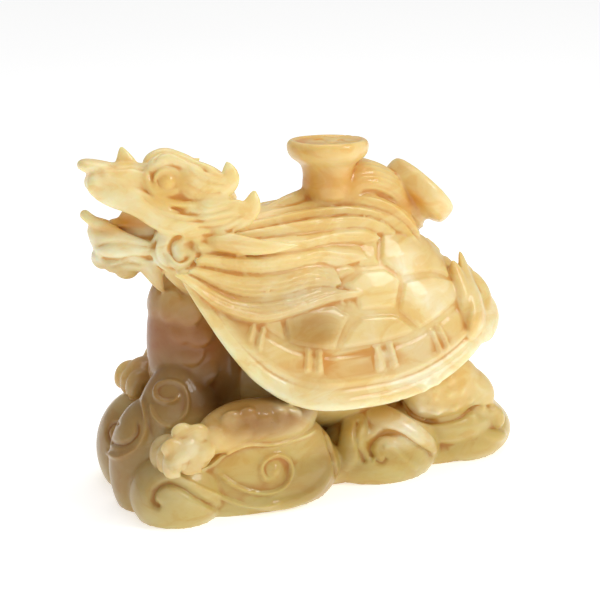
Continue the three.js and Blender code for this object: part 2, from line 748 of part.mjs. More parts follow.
// The underside is cut flat, so that the figure stands on the ground.
const joined = wasm.Manifold.union(pieces);
const roomHeight = 200 * unit;
const room = new THREE.BoxGeometry(400 * unit, 400 * unit, roomHeight);
room.translate(0, 0, roomHeight / 2);
const mesh = joined.intersect(solid(room)).getMesh();
const geometry = new THREE.BufferGeometry();
geometry.setAttribute("position", new THREE.BufferAttribute(new Float32Array(mesh.vertProperties), 3));
geometry.setIndex(new THREE.BufferAttribute(new Uint32Array(mesh.triVerts), 1));
geometry.computeBoundingBox();
const middle = geometry.boundingBox.getCenter(new THREE.Vector3());
geometry.translate(-middle.x, -middle.y, 0);
geometry.computeVertexNormals();

const figure = new THREE.Mesh(
  geometry,
  new THREE.MeshStandardMaterial({ color: 0xe2c57e, roughness: 0.3, metalness: 0 }),
);
figure.name = "dragon_turtle";

const part = new THREE.Group();
part.add(figure);

export default part;
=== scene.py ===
"""A dragon turtle carved from one block of yellow onyx.

The figure is drawn in millimetres, in the same places as the solid model: X runs back from the head, the
left side faces -Y, and Z is up from the ground. Each form is a closed skin worked out on a grid. The skins
are joined into one surface, which is smoothed as a polished carving is, and set down in metres.
"""

import math

import bpy
import numpy as np
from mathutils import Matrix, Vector


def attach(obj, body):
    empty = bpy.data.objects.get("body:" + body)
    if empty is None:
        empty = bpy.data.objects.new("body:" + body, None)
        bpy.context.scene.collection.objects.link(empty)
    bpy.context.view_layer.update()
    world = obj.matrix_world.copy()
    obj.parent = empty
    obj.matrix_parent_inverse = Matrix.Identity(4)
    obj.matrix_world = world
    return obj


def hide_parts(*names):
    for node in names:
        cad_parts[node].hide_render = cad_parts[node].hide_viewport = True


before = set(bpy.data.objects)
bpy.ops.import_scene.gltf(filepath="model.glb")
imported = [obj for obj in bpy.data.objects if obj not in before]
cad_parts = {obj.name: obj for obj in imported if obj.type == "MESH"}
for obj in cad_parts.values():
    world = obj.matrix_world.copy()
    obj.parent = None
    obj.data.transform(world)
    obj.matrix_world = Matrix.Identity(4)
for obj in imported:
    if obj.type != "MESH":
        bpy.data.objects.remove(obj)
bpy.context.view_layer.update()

# How finely the joined surface is drawn
GRAIN = 0.46
MOST_TRIANGLES = 190_000

# Sizes in millimetres
SHELL_CENTRE = 8.4
SHELL_HALF_LENGTH = 66.5
SHELL_HALF_WIDTH = 37.5
SHELL_TOP = 108
SHELL_SQUARENESS = 2.7
LIP_THICKNESS = 5
NECK_RADIUS = 18
EYE_RADIUS = 3.4
TOE_RADIUS = 3.7

# A skin's corners lie about this far apart, along it and round a strand.
SKIN_STEP = 0.8
ROUND_STEP = 0.55

# The drawing's own middle, which goes to the middle of the frame
DRAWING_MIDDLE = np.array([2.44, -1.04, 0.0])

UP = np.array([0.0, 0.0, 1.0])
LEFT = np.array([0.0, -1.0, 0.0])
BACK = np.array([1.0, 0.0, 0.0])
SIDES = (1, -1)

# The camera stands where the photograph was taken from: 25 degrees round to the front, 18 degrees up. The
# fine lines are drawn along its two vectors across and up the picture.
CAMERA_TURN = math.radians(25)
CAMERA_RISE = math.radians(18)
CAMERA_DISTANCE = 900
CAMERA_TARGET = np.array([-1.0, 0.0, 69.5])
PICTURE_RIGHT = np.array([math.cos(CAMERA_TURN), -math.sin(CAMERA_TURN), 0.0])
PICTURE_BACK = np.array([-math.sin(CAMERA_TURN), -math.cos(CAMERA_TURN), 0.0]) * math.cos(CAMERA_RISE)
PICTURE_BACK = PICTURE_BACK + UP * math.sin(CAMERA_RISE)
PICTURE_UP = np.cross(PICTURE_BACK, PICTURE_RIGHT)


def unit_vectors(vectors):
    """Each vector divided by its own length."""
    return vectors / np.maximum(np.linalg.norm(vectors, axis=-1, keepdims=True), 1e-9)


def eased(value, start, end):
    """0 below start and 1 above end, with the smooth cubic 3t^2 - 2t^3 between."""
    t = np.clip((value - start) / (end - start), 0, 1)
    return t * t * (3 - 2 * t)


def smooth_curve(points):
    """A function from shares of the way (0 to 1) to places on a smooth curve through the points.

    Each span is the cubic that meets two neighbouring points. Its slopes there come from the points before
    and after, each weighted by the square root of its distance.
    """
    points = np.asarray(points, float)
    ends = np.vstack([2 * points[0] - points[1], points, 2 * points[-1] - points[-2]])
    gaps = np.maximum(np.linalg.norm(np.diff(ends, axis=0), axis=1) ** 0.5, 1e-4)

    def places(shares):
        spot = np.clip(shares, 0, 1) * (len(points) - 1)
        i = np.minimum(spot.astype(int), len(points) - 2)
        t = (spot - i)[..., None]
        a, b, c, d = (ends[i + k] for k in range(4))
        p, q, r = (gaps[i + k][..., None] for k in range(3))
        leave = ((b - a) / p - (c - a) / (p + q) + (c - b) / q) * q
        arrive = ((c - b) / q - (d - b) / (q + r) + (d - c) / r) * q
        square = 3 * (c - b) - 2 * leave - arrive
        cube = 2 * (b - c) + leave + arrive
        return b + leave * t + square * t**2 + cube * t**3

    return places


class Pile:
    """Closed skins, gathered as one list of corners and faces."""

    def __init__(self):
        self.corners = []
        self.faces = []
        self.count = 0

    def add(self, corners, faces):
        """Adds a skin. Its faces count its own corners from 0, so the corners before it are added on."""
        self.corners.append(corners)
        self.faces.append(faces + self.count)
        self.count += len(corners)

    def rings(self, places):
        """A skin from places [ring, place round it]. The first and the last ring are single points."""
        rings, around = places.shape[:2]
        grid = np.arange(rings * around).reshape(rings, around)
        grid[0] = grid[0, 0]
        grid[-1] = grid[-1, 0]
        ahead = np.roll(grid, -1, axis=1)
        quads = np.stack([grid[:-1], ahead[:-1], ahead[1:], grid[1:]], axis=-1).reshape(-1, 4)
        self.add(places.reshape(-1, 3), quads)

    def closed_over(self, sheet, heart):
        """A skin from a sheet of places [column, row], whose border is joined to a point inside the body."""
        columns, rows = sheet.shape[:2]
        grid = np.arange(columns * rows).reshape(columns, rows)
        middle = columns * rows
        quads = np.stack([grid[:-1, :-1], grid[1:, :-1], grid[1:, 1:], grid[:-1, 1:]], axis=-1)
        border = np.concatenate([grid[:-1, 0], grid[-1, :-1], grid[:0:-1, -1], grid[0, :0:-1]])
        fan = np.stack([np.roll(border, -1), border, np.full_like(border, middle)], axis=-1)
        fan = np.column_stack([fan, fan[:, 2]])
        places = np.vstack([sheet.reshape(-1, 3), heart])
        self.add(places, np.vstack([quads.reshape(-1, 4), fan]))


stone = Pile()


# Strands and masses

# How full a strand is at each share s of its way, as a share of its size
SWELLS = {
    "round": lambda s: np.sqrt(np.maximum(0, 1 - (2 * s - 1) ** 4)),
    "lock": lambda s: np.minimum(1, 3 * s + 0.35) * np.maximum(0, 1 - s * s) ** 0.7,
    "horn": lambda s: np.minimum(1, 6 * s + 0.7) * np.maximum(0, 1 - s) ** 0.8,
    "leaf": lambda s: np.minimum(1, 3 * s + 0.35) * np.maximum(0, 1 - s**3) ** 0.6,
    "line": lambda s: np.maximum(0, 1 - (2 * s - 1) ** 6) ** 0.5,
}
# The shares of a strand's rings lie closer together at its ends.
END_SHARES = 0.5 - 0.5 * np.cos(np.linspace(0, np.pi, 12))


def strand(points, wide, thick=None, out=UP, swell="round", flutes=0, flute_depth=0.16):
    """Oval rings along a smooth curve through the points.

    A ring is the centre + wide cos(t) across + thick sin(t) outwards, both times the swell at its share of
    the way. Outwards is the part of `out` square to the curve, and across is square to both. With flutes,
    the ring's radius dips that many times by `flute_depth` of itself, so fine hollows run along the strand.
    """
    thick = wide if thick is None else thick
    points = np.asarray(points, float)
    length = np.linalg.norm(np.diff(points, axis=0), axis=1).sum()
    count = int(np.clip(length / SKIN_STEP, 14, 120))
    shares = np.linspace(0, 1, count)
    shares = np.sort(np.concatenate([shares, END_SHARES[1:5] / 4, 1 - END_SHARES[1:5] / 4]))
    curve = smooth_curve(points)
    spots = curve(shares)
    tangents = unit_vectors(curve(shares + 1e-3) - curve(shares - 1e-3))
    out = np.asarray(out, float)
    if out.ndim == 2:
        out = smooth_curve(out)(shares)
    across = np.cross(tangents, np.broadcast_to(out, tangents.shape))
    weak = np.linalg.norm(across, axis=-1) < 0.05
    across[weak] = np.cross(tangents[weak], LEFT)
    across = unit_vectors(across)
    outward = unit_vectors(np.cross(across, tangents))
    around = int(np.clip(2 * np.pi * max(wide, thick) / ROUND_STEP, 14, 96))
    angles = np.linspace(0, 2 * np.pi, around, endpoint=False)
    girth = SWELLS[swell](shares)[:, None] * np.ones(around)
    if flutes:
        wave = np.abs(np.sin(flutes * angles / 2 + 0.6 * np.sin(5 * shares[:, None])))
        girth = girth * (1 - flute_depth * (1 - wave))
    sideways = (np.cos(angles) * girth * wide)[..., None] * across[:, None]
    outwards = (np.sin(angles) * girth * thick)[..., None] * outward[:, None]
    stone.rings(spots[:, None] + sideways + outwards)


def mass(centre, half_sizes, axes=(BACK, -LEFT, UP)):
    """An egg-shaped mass: centre + a cos(t) sin(u) + b sin(t) sin(u) + c cos(u) along the three axes."""
    largest = max(half_sizes)
    around = int(np.clip(2 * np.pi * largest / SKIN_STEP, 16, 90))
    down = int(np.clip(np.pi * largest / SKIN_STEP, 10, 60))
    turn = np.linspace(0, 2 * np.pi, around, endpoint=False)
    fall = np.linspace(0, np.pi, down)[:, None]
    parts = (np.sin(fall) * np.cos(turn), np.sin(fall) * np.sin(turn), np.cos(fall) * np.ones_like(turn))
    places = np.asarray(centre, float)
    for part, half_size, axis in zip(parts, half_sizes, axes):
        places = places + part[..., None] * half_size * np.asarray(axis)
    stone.rings(places)


def scale(centre, out, half_width, half_height, relief):
    """A rounded scale: an egg-shaped mass that lies in the surface and stands out of it by its relief."""
    out = unit_vectors(np.asarray(out, float))
    across = unit_vectors(np.cross(UP, out))
    mass(centre, [half_width, half_height, relief], (across, np.cross(out, across), out))


# Shell

# A place on the shell is given by its bearing, 0 at the tail and 180 at the neck, and its share of the way
# from the top of the dome to its edge. The field of scutes ends where the band begins. The seams between
# the scutes are lines of [bearing in degrees, share], the same on both sides.
FIELD_EDGE = 0.866
SEAMS = (
    ((92.5, 0.632), (86, 0.576), (73.5, 0.592), (67, 0.668), (76.5, 0.772), (89.5, 0.748), (92.5, 0.632)),
    ((89.5, 0.748), (95, 0.7), (118, 0.772), (113, FIELD_EDGE)),
    ((89.5, 0.748), (95, FIELD_EDGE)),
    ((76.5, 0.772), (69.8, FIELD_EDGE)),
    ((67, 0.668), (56, 0.688), (34.5, 0.79), (31, FIELD_EDGE)),
    ((73.5, 0.592), (74.5, 0.552), (61, 0.432), (30, 0.47), (12, 0.6), (18, 0.72), (34.5, 0.79)),
    ((86, 0.576), (92, 0.5), (80, 0.34), (61, 0.432)),
    ((95, 0.7), (104, 0.6), (92, 0.5)),
    ((118, 0.772), (134, 0.68), (152, 0.74), (148, FIELD_EDGE)),
    ((30, 0.47), (0, 0.38)),
    ((12, 0.6), (0, 0.64)),
    ((18, 0.72), (0, 0.76), (0, FIELD_EDGE)),
    ((61, 0.432), (40, 0.22), (0, 0.14)),
)
SCUTE_RELIEF = 1.1
SCUTE_BEVEL = 2
SCUTE_SWELL = 0.6
SWELL_REACH = 9
BEAD_LIFT = 0.25
BEAD_WIDTH = 0.7
# The dome is also drawn on a flat round map, which is this far from its middle to its edge.
MAP_REACH = 80


def edge_height(bearing):
    """The height of the shell's edge: a sum of cosines, high over the neck and low at the flanks."""
    return 60.9 - 15.1 * np.cos(bearing) + 19.4 * np.cos(2 * bearing) - 4.8 * np.cos(3 * bearing)


def squared(value, squareness=SHELL_SQUARENESS):
    """A cosine or sine raised to 2 / squareness, with its sign kept: it squares off a round outline."""
    return np.sign(value) * np.abs(value) ** (2 / squareness)


def on_dome(bearing, share, lift=0.0):
    """A place on the dome, whose height falls with the square of the share from its top to its edge."""
    bearing, share, lift = np.broadcast_arrays(bearing, share, lift)
    edge = edge_height(bearing)
    spot = np.stack(
        [
            SHELL_CENTRE + SHELL_HALF_LENGTH * share * squared(np.cos(bearing)),
            SHELL_HALF_WIDTH * share * squared(np.sin(bearing)),
            edge + (SHELL_TOP - edge) * (1 - share**2),
        ],
        axis=-1,
    )
    out = np.stack(
        [share * np.cos(bearing) * 1.1, share * np.sin(bearing) * 1.5, 1.05 - 0.6 * share], axis=-1
    )
    return spot + unit_vectors(out) * lift[..., None]


def on_map(bearing, share):
    """A place on the flat round map of the dome: its share of the reach, at its bearing."""
    bearing, share = np.broadcast_arrays(bearing, share)
    return np.stack([np.cos(bearing), np.sin(bearing)], axis=-1) * (share * MAP_REACH)[..., None]


def from_map(x, y, lift):
    """The place on the dome that a place on the map stands for."""
    return on_dome(np.arctan2(y, x), np.hypot(x, y) / MAP_REACH, lift)


def scute_lift(places):
    """How far the shell stands out at places on the map.

    The way to the nearest seam is the least distance to its straight pieces, or to the edge of the field if
    that is nearer. A fine bead lies in the groove, and the scute rises beside it by an eased step and then
    swells a little to its middle.
    """
    inside = FIELD_EDGE * MAP_REACH - np.linalg.norm(places, axis=-1)
    way = np.abs(inside)
    for line in SEAMS:
        for side in SIDES:
            bearings, shares = np.array(line).T
            ends = on_map(side * np.radians(bearings), shares)
            for first, last in zip(ends[:-1], ends[1:]):
                piece = last - first
                along = np.clip((places - first) @ piece / (piece @ piece), 0, 1)
                gaps = np.linalg.norm(places - first - along[..., None] * piece, axis=-1)
                way = np.minimum(way, gaps)
    bead = BEAD_LIFT * (1 - eased(way, 0.15, BEAD_WIDTH))
    risen = SCUTE_RELIEF * eased(way, BEAD_WIDTH, SCUTE_BEVEL)
    swell = SCUTE_SWELL * eased(way, SCUTE_BEVEL, SWELL_REACH)
    return bead + np.where(inside > 0, risen + swell, risen * 0.45)


# Pairs of upright bars stand on the band below the scutes, where the photograph shows them. Each has a
# bearing and the shares where it starts and ends.
BARS = ((62.6, 0.878, 0.955), (84.6, 0.866, 0.936), (102.6, 0.862, 0.925), (126, 0.856, 0.935))
BAR_TWIN = math.radians(2.1)
BAR_HALF_WIDTH = math.radians(0.75)
BAR_LIFT = 1.0
# The groove above the lip, and the bead above it: the shares where they lie and their half width
LIP_LINE = 0.974
LIP_BEAD = 0.958
LIP_LINE_WIDTH = 0.008


def band_lift(bearing, share):
    """The bars and the fine line above the lip, as heights over the band.

    The line is a groove with a bead above it, both height * exp(-(distance / half width)^2). A bar is 1 mm
    high about its own bearing and falls off by an eased step, with a shallow groove between the twins.
    """
    lift = -0.8 * np.exp(-(((share - LIP_LINE) / LIP_LINE_WIDTH) ** 2))
    lift = lift + 0.4 * np.exp(-(((share - LIP_BEAD) / LIP_LINE_WIDTH) ** 2))
    for middle, first, last in BARS:
        upright = eased(share, first - 0.006, first + 0.006) * (1 - eased(share, last - 0.006, last + 0.006))
        for side in SIDES:
            away = np.abs(np.angle(np.exp(1j * (bearing - side * math.radians(middle)))))
            twin = np.abs(away - BAR_TWIN)
            lift = lift + BAR_LIFT * upright * (1 - eased(twin, BAR_HALF_WIDTH * 0.5, BAR_HALF_WIDTH * 1.6))
            lift = lift - 0.35 * upright * (1 - eased(away, 0, BAR_HALF_WIDTH * 1.4))
    return lift


def shell():
    """The dome, its rounded lip and the hollow under it, as rings from the top to a hidden point.

    The dome is lifted by its scutes and bars. The lip is half an oval, a third of its thickness out and all
    of it down from the edge, and the hollow goes in from there.
    """
    around = 620
    bearing = np.linspace(-np.pi, np.pi, around, endpoint=False)
    share = np.linspace(0, 1, 190)[:, None]
    bearings = np.broadcast_to(bearing, (len(share), around))
    shares = np.broadcast_to(share, bearings.shape)
    lift = scute_lift(on_map(bearings, shares)) + band_lift(bearings, shares)
    lift = lift * (1 - eased(shares, 0.992, 1.0))
    dome = on_dome(bearings, shares, lift)
    edge = on_dome(bearing, 1.0)
    outward = unit_vectors((edge - [SHELL_CENTRE, 0, 0]) * [1, 1, 0])
    bend = np.linspace(0, np.pi, 16)[1:, None, None]
    lip = edge + outward * np.sin(bend) * LIP_THICKNESS / 3 + UP * (np.cos(bend) - 1) * LIP_THICKNESS / 2
    hollow = lip[-1] * 0.55 + np.array([SHELL_CENTRE, 0, 62]) * 0.45
    heart = np.broadcast_to([SHELL_CENTRE, 0.0, 56.0], edge.shape)
    stone.rings(np.concatenate([dome, lip, hollow[None], heart[None]]))


shell()


# Body and neck

mass([10, 0, 42], [48, 25, 24])
strand([[-34, 0, 20], [-44, 0, 46], [-45, 0, 68], [-38, 0, 92]], 18, 16, LEFT)
strand([[8, 0, 84], [-14, 0, 86], [-32, 1, 88], [-52, 3, 99]], NECK_RADIUS)

# Broad scales overlap down the chest. Their places and sizes wander a little, by sums of sines.
CHEST_ROWS = 5
CHEST_COLUMNS = 5
CHEST_STEP = math.radians(31)
CHEST_DROP = 8.2
CHEST_TOP = np.array([-45.2, 0, 77])
CHEST_REACH = 15.4
SCALE_SIZES = (5.8, 6, 1.7)
for row in range(CHEST_ROWS):
    for column in range(CHEST_COLUMNS):
        stray = math.sin(5 * row + 3 * column)
        bearing = (column - (CHEST_COLUMNS - 1) / 2 + (row % 2) / 2 + 0.12 * stray) * CHEST_STEP
        away = np.array([-math.cos(bearing), -math.sin(bearing), 0])
        spot = CHEST_TOP - (row * CHEST_DROP - 1.2 * stray) * UP + away * CHEST_REACH
        half_width, half_height, relief = SCALE_SIZES
        scale(spot, away + 0.3 * UP, half_width, half_height + 0.5 * stray, relief)


# Caps

# Turned forms, as [radius, drop from the top]. The upper one is a bowl on a short stem, with a shallow
# sunken top. The lower one is a thick slab with rounded edges.
UPPER_CAP = (
    (0, 1.5), (8.6, 1.3), (12, 0.9), (13.4, 0), (14.8, 0.3), (15.6, 1.6), (15.6, 3.6), (15, 5.4), (13.8, 7),
    (12, 8.2), (10.5, 9.4), (9.8, 11.4), (9.6, 14), (10, 17), (9, 22), (0, 26),
)
LOWER_CAP = (
    (0, 0.8), (8.6, 0.6), (12, 0.3), (13.4, 0.2), (14.8, 1.1), (15.4, 2.8), (15.4, 6.6), (14.8, 8.4),
    (13.2, 9.4), (10.5, 10.2), (8.6, 12), (8, 16), (8, 22), (0, 26),
)


def cap(top, profile, lean_back, lean_side):
    """A turned form: the profile, resampled along its length and carried round its leaning axis.

    Two small sine waves round it, of 3 and of 7 turns, keep it from being truly round, as a carved one is.
    """
    profile = np.array(profile, float)
    runs = np.concatenate([[0], np.cumsum(np.linalg.norm(np.diff(profile, axis=0), axis=1))])
    steps = np.linspace(0, runs[-1], 110)
    radius = np.interp(steps, runs, profile[:, 0])[:, None]
    drop = np.interp(steps, runs, profile[:, 1])[:, None]
    turn = np.linspace(0, 2 * np.pi, 150, endpoint=False)
    radius = radius * (1 + 0.012 * np.sin(3 * turn + 1) + 0.007 * np.sin(7 * turn))
    axis = unit_vectors(np.array([math.tan(lean_back), math.tan(lean_side), 1.0]))
    along = unit_vectors(BACK - axis * axis[0])
    across = np.cross(axis, along)
    places = radius[..., None] * (np.cos(turn)[:, None] * along + np.sin(turn)[:, None] * across)
    stone.rings(np.asarray(top, float) + places - drop[..., None] * axis)


cap([10.6, 0, 132], UPPER_CAP, math.radians(2), math.radians(6))
cap([53.2, 0, 110.6], LOWER_CAP, math.radians(46), 0)


# Mane

# The crests of the locks, as lines of [bearing, share, lift off the dome]. The ridge is the middle one, and
# the others follow each other down either side.
MANE_RIDGE = ((180, 0.8, 1), (180, 0.4, 1), (180, 0.16, 5), (0, 0.12, 8), (0, 0.38, 11), (0, 0.62, 4))
MANE_LOCKS = (
    ((174, 0.66, 1), (164, 0.34, 2), (112, 0.2, 4), (55, 0.28, 8), (38, 0.44, 7), (31, 0.58, 2)),
    ((168, 0.72, 3), (144, 0.4, 5), (90, 0.27, 6), (54, 0.37, 5), (40, 0.5, 3), (37, 0.6, 2)),
    ((164, 0.78, 4), (140, 0.47, 5.4), (98, 0.34, 5.4), (64, 0.39, 4), (52, 0.48, 2)),
    ((164, 0.84, 4), (144, 0.6, 5.4), (112, 0.46, 5), (86, 0.42, 4), (66, 0.47, 2)),
    ((160, 0.9, 4), (141, 0.7, 5), (120, 0.57, 5), (98, 0.5, 4), (82, 0.54, 2)),
    ((158, 0.96, 4), (140, 0.8, 5), (121, 0.67, 5), (104, 0.6, 4), (92, 0.63, 2)),
    ((160, 1.02, 5), (143, 0.93, 4.6), (126, 0.83, 4.2), (110, 0.73, 4), (97, 0.68, 3), (88, 0.67, 1.6)),
)
VALLEY_DEPTH = 1.7
VALLEY_REACH = 0.86
HEM_WIDTH = 0.045
HEM_LIFT = -4
RIGHT_LIFT = 0.72
HAIRS = 3
HAIR_DEPTH = 0.42


def mane_side(side, shares):
    """The lines of one side as an array [line, share, (x, y, lift)], from the ridge to the hem.

    Crests and valleys take turns. A valley runs half way between two crests and ends before their tips.
    """
    flatness = 1 if side > 0 else RIGHT_LIFT

    def line(rows, lift_share=1.0):
        bearing, share, lift = np.array(rows, float).T
        flat = on_map(-side * np.radians(bearing), share)
        return smooth_curve(np.column_stack([flat, lift * lift_share]))

    inner = line(MANE_RIDGE)
    lines = []
    for rows in MANE_LOCKS:
        crest = line(rows, flatness)
        valley = (inner(shares * VALLEY_REACH) + crest(shares * VALLEY_REACH)) / 2
        valley[:, 2] -= VALLEY_DEPTH * (1 + 1.4 * (1 - shares) ** 3)
        lines += [valley, crest(shares)]
        inner = crest
    hem = [(bearing, share + HEM_WIDTH, HEM_LIFT) for bearing, share, _ in MANE_LOCKS[-1]]
    return np.array([*lines, line(hem)(shares)])


def mane():
    """The mane as a sheet on the dome: its lines, joined by rounded locks with fine hair lines.

    Between a crest and a valley the lift follows cos(t pi/2), so the locks are round and the valleys sharp.
    The hair lines add the cosine of the way across, in whole turns, and fade at the ends of the locks.
    """
    shares = np.linspace(0, 1, 230)
    right = mane_side(-1, shares)
    left = mane_side(1, shares)
    bearing, share, lift = np.array(MANE_RIDGE, float).T
    ridge = smooth_curve(np.column_stack([on_map(np.radians(bearing), share), lift]))(shares)
    lines = np.concatenate([right[::-1], ridge[None], left])
    steps = 18
    across = np.arange(0, (len(lines) - 1) * steps + 1) / steps
    i = np.minimum(across.astype(int), len(lines) - 2)
    t = (across - i)[:, None]
    plan = lines[i][..., :2] * (1 - t[..., None]) + lines[i + 1][..., :2] * t[..., None]
    first, last = lines[i][..., 2], lines[i + 1][..., 2]
    high = np.maximum(first, last)
    low = np.minimum(first, last)
    near_high = np.where(first >= last, t, 1 - t)
    lift = low + (high - low) * np.cos(near_high * np.pi / 2)
    sway = 0.5 * np.sin(shares * 9 + i[:, None]) * np.sin(shares * 4 + 1)
    fade = eased(shares, 0.02, 0.1) * (1 - eased(shares, 0.86, 0.99))
    lift = lift + HAIR_DEPTH * fade * np.cos(2 * np.pi * HAIRS * t + sway)
    sheet = from_map(plan[..., 0], plan[..., 1], lift)
    stone.closed_over(sheet, np.array([0.0, 0.0, 62.0]))


mane()


# Locks of the mane climb over the hump between the two caps.
mass([16, 0, 112], [10, 11, 8])
HUMP = [[0, 0, 102], [11, 0, 109.6], [21, 0, 115.6], [31, 0, 112.6], [42, 0, 102], [50, 0, 93]]
strand(HUMP, 11, 7.5, UP, flutes=22, flute_depth=0.07)


# Head

# It has its own axes: forward, to its left, and up, counted from a point behind the eyes.
HEAD_PLACE = np.array([-45.0, 2.0, 105.0])
HEAD_TURN = math.radians(15)
HEAD_ROLL = math.radians(9)
HEAD_FORWARD = np.array([-math.cos(HEAD_TURN), math.sin(HEAD_TURN), 0.0])
HEAD_LEFT = np.array([-math.sin(HEAD_TURN), -math.cos(HEAD_TURN), 0.0]) * math.cos(HEAD_ROLL)
HEAD_LEFT = HEAD_LEFT + UP * math.sin(HEAD_ROLL)
HEAD_UP = np.cross(HEAD_FORWARD, HEAD_LEFT)
HEAD_AXES = np.array([HEAD_FORWARD, HEAD_LEFT, HEAD_UP])


def in_head(rows):
    """Places of the figure from places in the head: [forward, left, up] times the head's axes."""
    return HEAD_PLACE + np.asarray(rows, float) @ HEAD_AXES


def head_mass(forward, left, up, half_sizes):
    """An egg-shaped mass along the head's own axes."""
    mass(in_head([forward, left, up]), half_sizes, HEAD_AXES)


def head_strand(rows, wide, thick=None, out=HEAD_UP, **options):
    """A strand through places in the head."""
    strand(in_head(rows), wide, thick, out, **options)


def paired_strand(rows, wide, thick=None, droop=0.0, **options):
    """The strand on both sides of the head. The tip of the right one hangs lower by `droop`."""
    rows = np.asarray(rows, float)
    head_strand(rows, wide, thick, HEAD_LEFT, **options)
    other = rows * [1, -1, 1]
    other[:, 2] -= droop * np.linspace(0, 1, len(rows))
    head_strand(other, wide, thick, -HEAD_LEFT, **options)


def head_loft(rows, squareness=2.6):
    """Rounded square rings along the head, from rows of [forward, up, half width, half height].

    A ring is the half sizes times cos(t) and sin(t), each raised to 2 / squareness with its sign kept.
    """
    rows = np.array(rows, float)
    shares = np.linspace(0, 1, 90)
    made = smooth_curve(rows)(shares)
    made[:, 2:] = np.maximum(made[:, 2:], 0)
    made[[0, -1], 2:] = 0
    turn = np.linspace(0, 2 * np.pi, 90, endpoint=False)
    wide = squared(np.cos(turn), squareness)
    high = squared(np.sin(turn), squareness)
    forward, up, half_width, half_height = (made[:, k, None] for k in range(4))
    places = np.stack([forward + 0 * turn, half_width * wide, up + half_height * high], axis=-1)
    stone.rings(in_head(places))


UPPER_HEAD = (
    (39, 18, 0, 0),
    (36.5, 17, 6, 5),
    (28, 16.4, 9, 7.6),
    (17, 15.4, 9.4, 8),
    (9, 11, 10.4, 12.6),
    (-3, 10, 10.8, 13.4),
    (-12, 9, 8.6, 10),
    (-18, 9, 0, 0),
)
head_loft(UPPER_HEAD)
head_mass(4, 0, -5, [10, 11, 11.5])

# The snout ends in a pointed leaf, with a horn on it and a wing on each nostril.
head_strand([[24, 0, 20], [33, 0, 22.4], [41.5, 0, 24]], 6, 2.8)
head_strand([[23.5, 0, 16], [23.5, 0, 23], [25.2, 0, 30.4]], 3.5, 8, HEAD_FORWARD, swell="horn")
for side in SIDES:
    head_mass(33.6, side * 5.2, 16.6, [5.2, 3, 4.6])
    head_mass(30.6, side * 6.4, 20.4, [3, 2, 2])

# Brows, eyes and lids
paired_strand([[16, 6.6, 21], [13, 7.8, 24], [8.6, 8.4, 25.6], [2, 9, 23.6], [-5, 9.5, 20.6]], 2.5, 3)
for side in SIDES:
    head_mass(7, side * 7.6, 19.4, [8, 2.6, 6.4])
    head_mass(9.4, side * 8.8, 17.2, [EYE_RADIUS] * 3)
ring_turns = np.linspace(0, 2 * np.pi, 13)
EYE_RING = np.column_stack(
    [9.4 + 4.7 * np.cos(ring_turns), 10.4 + 0 * ring_turns, 17.2 + 4.4 * np.sin(ring_turns)]
)
paired_strand(EYE_RING, 1, swell="line")
LOWER_LID = [
    [16.6, 8.2, 22], [16.8, 9.2, 17.6], [15, 10.2, 14], [11.4, 11, 10.6], [6, 11.8, 8.9],
    [-2, 12.2, 8.2], [-9, 12.6, 8.8],
]
paired_strand(LOWER_LID, 1.2)

# Leaf-shaped horns behind the eyes and the lobes below them, with fine lines along them
LEAF = [[8, 9, 18], [-1, 10.4, 16.8], [-9, 11.4, 15.2], [-13.2, 11.6, 17.6], [-12.8, 11.6, 24]]
paired_strand(LEAF, 7.8, 3.4, droop=6, swell="lock", flutes=16, flute_depth=0.05)
LOBE = [[4, 10, 6], [-6, 12, 4.4], [-15, 13, 4], [-20.6, 13, 6.4], [-22.6, 12.2, 13]]
paired_strand(LOBE, 7.6, 3.6, droop=8, swell="lock", flutes=16, flute_depth=0.06)
paired_strand([[-1, 9.4, 20.6], [-4, 9.8, 22.4], [-6, 10, 23.4]], 2, 2, swell="horn")

# The broad cheek runs back from the snout over the disc of its curl, which a narrow band winds round.
CHEEK = [
    [37, 4.4, 15.4], [32, 6.2, 14], [27.7, 7.6, 12.4], [23.4, 8.8, 10.8], [19, 9.8, 8.6], [14, 10.8, 5],
    [8, 11.6, 1.6], [1, 12.4, -0.6], [-6, 12.8, -2],
]
paired_strand(CHEEK, 5, 3, swell="line", flutes=6, flute_depth=0.04)
CURL_BAND = [
    [11, 10.6, 1], [4, 12, -0.4], [-0.6, 12.4, -4.4], [-1, 12.4, -9], [2, 12.2, -13], [7, 12, -14.6],
    [12, 11.4, -13], [14.6, 10.8, -8.6], [13, 11, -5],
]
paired_strand(CURL_BAND, 2.1, 2, swell="line")
for side in SIDES:
    head_mass(6.8, side * 8.6, -6.8, [9.2, 4.4, 9.2])
    head_mass(5.4, side * 11.4, -9, [3.4, 2.4, 3.4])

# Lower jaw, its rim with an upturned tip, and the bands and lumps of the chin
LOWER_JAW = (
    (39, -1, 0, 0),
    (37, -2.4, 4.6, 4.6),
    (31, -7.4, 7, 7),
    (24, -10, 8, 7),
    (14, -9.6, 9, 6),
    (4, -9, 0, 0),
)
head_loft(LOWER_JAW)
LEFT_RIM = np.array([[13, 8.2, -7], [19, 8, -5.4], [25.5, 7, -2.8], [31, 5.2, 0.4], [36, 2.8, 2.4]])
JAW_RIM = np.vstack([LEFT_RIM, [39.4, 0, 5.2], LEFT_RIM[::-1] * [1, -1, 1]])
head_strand(JAW_RIM, 2)
JAW_BANDS = (
    ((36.4, 3, -2.4), (31, 6.6, -3.8), (25, 8, -5.6), (16, 9, -7.6)),
    ((36.8, 3, -7), (31, 6.9, -7.6), (25, 8.4, -8.2), (16, 9.4, -8.6)),
    ((34, 3, -12.2), (28.6, 6.6, -13.2), (22, 8, -13.4), (15, 9, -13.2)),
)
for rows, girth in zip(JAW_BANDS, (2.4, 2.8, 2.4)):
    paired_strand(rows, girth, girth * 0.8)
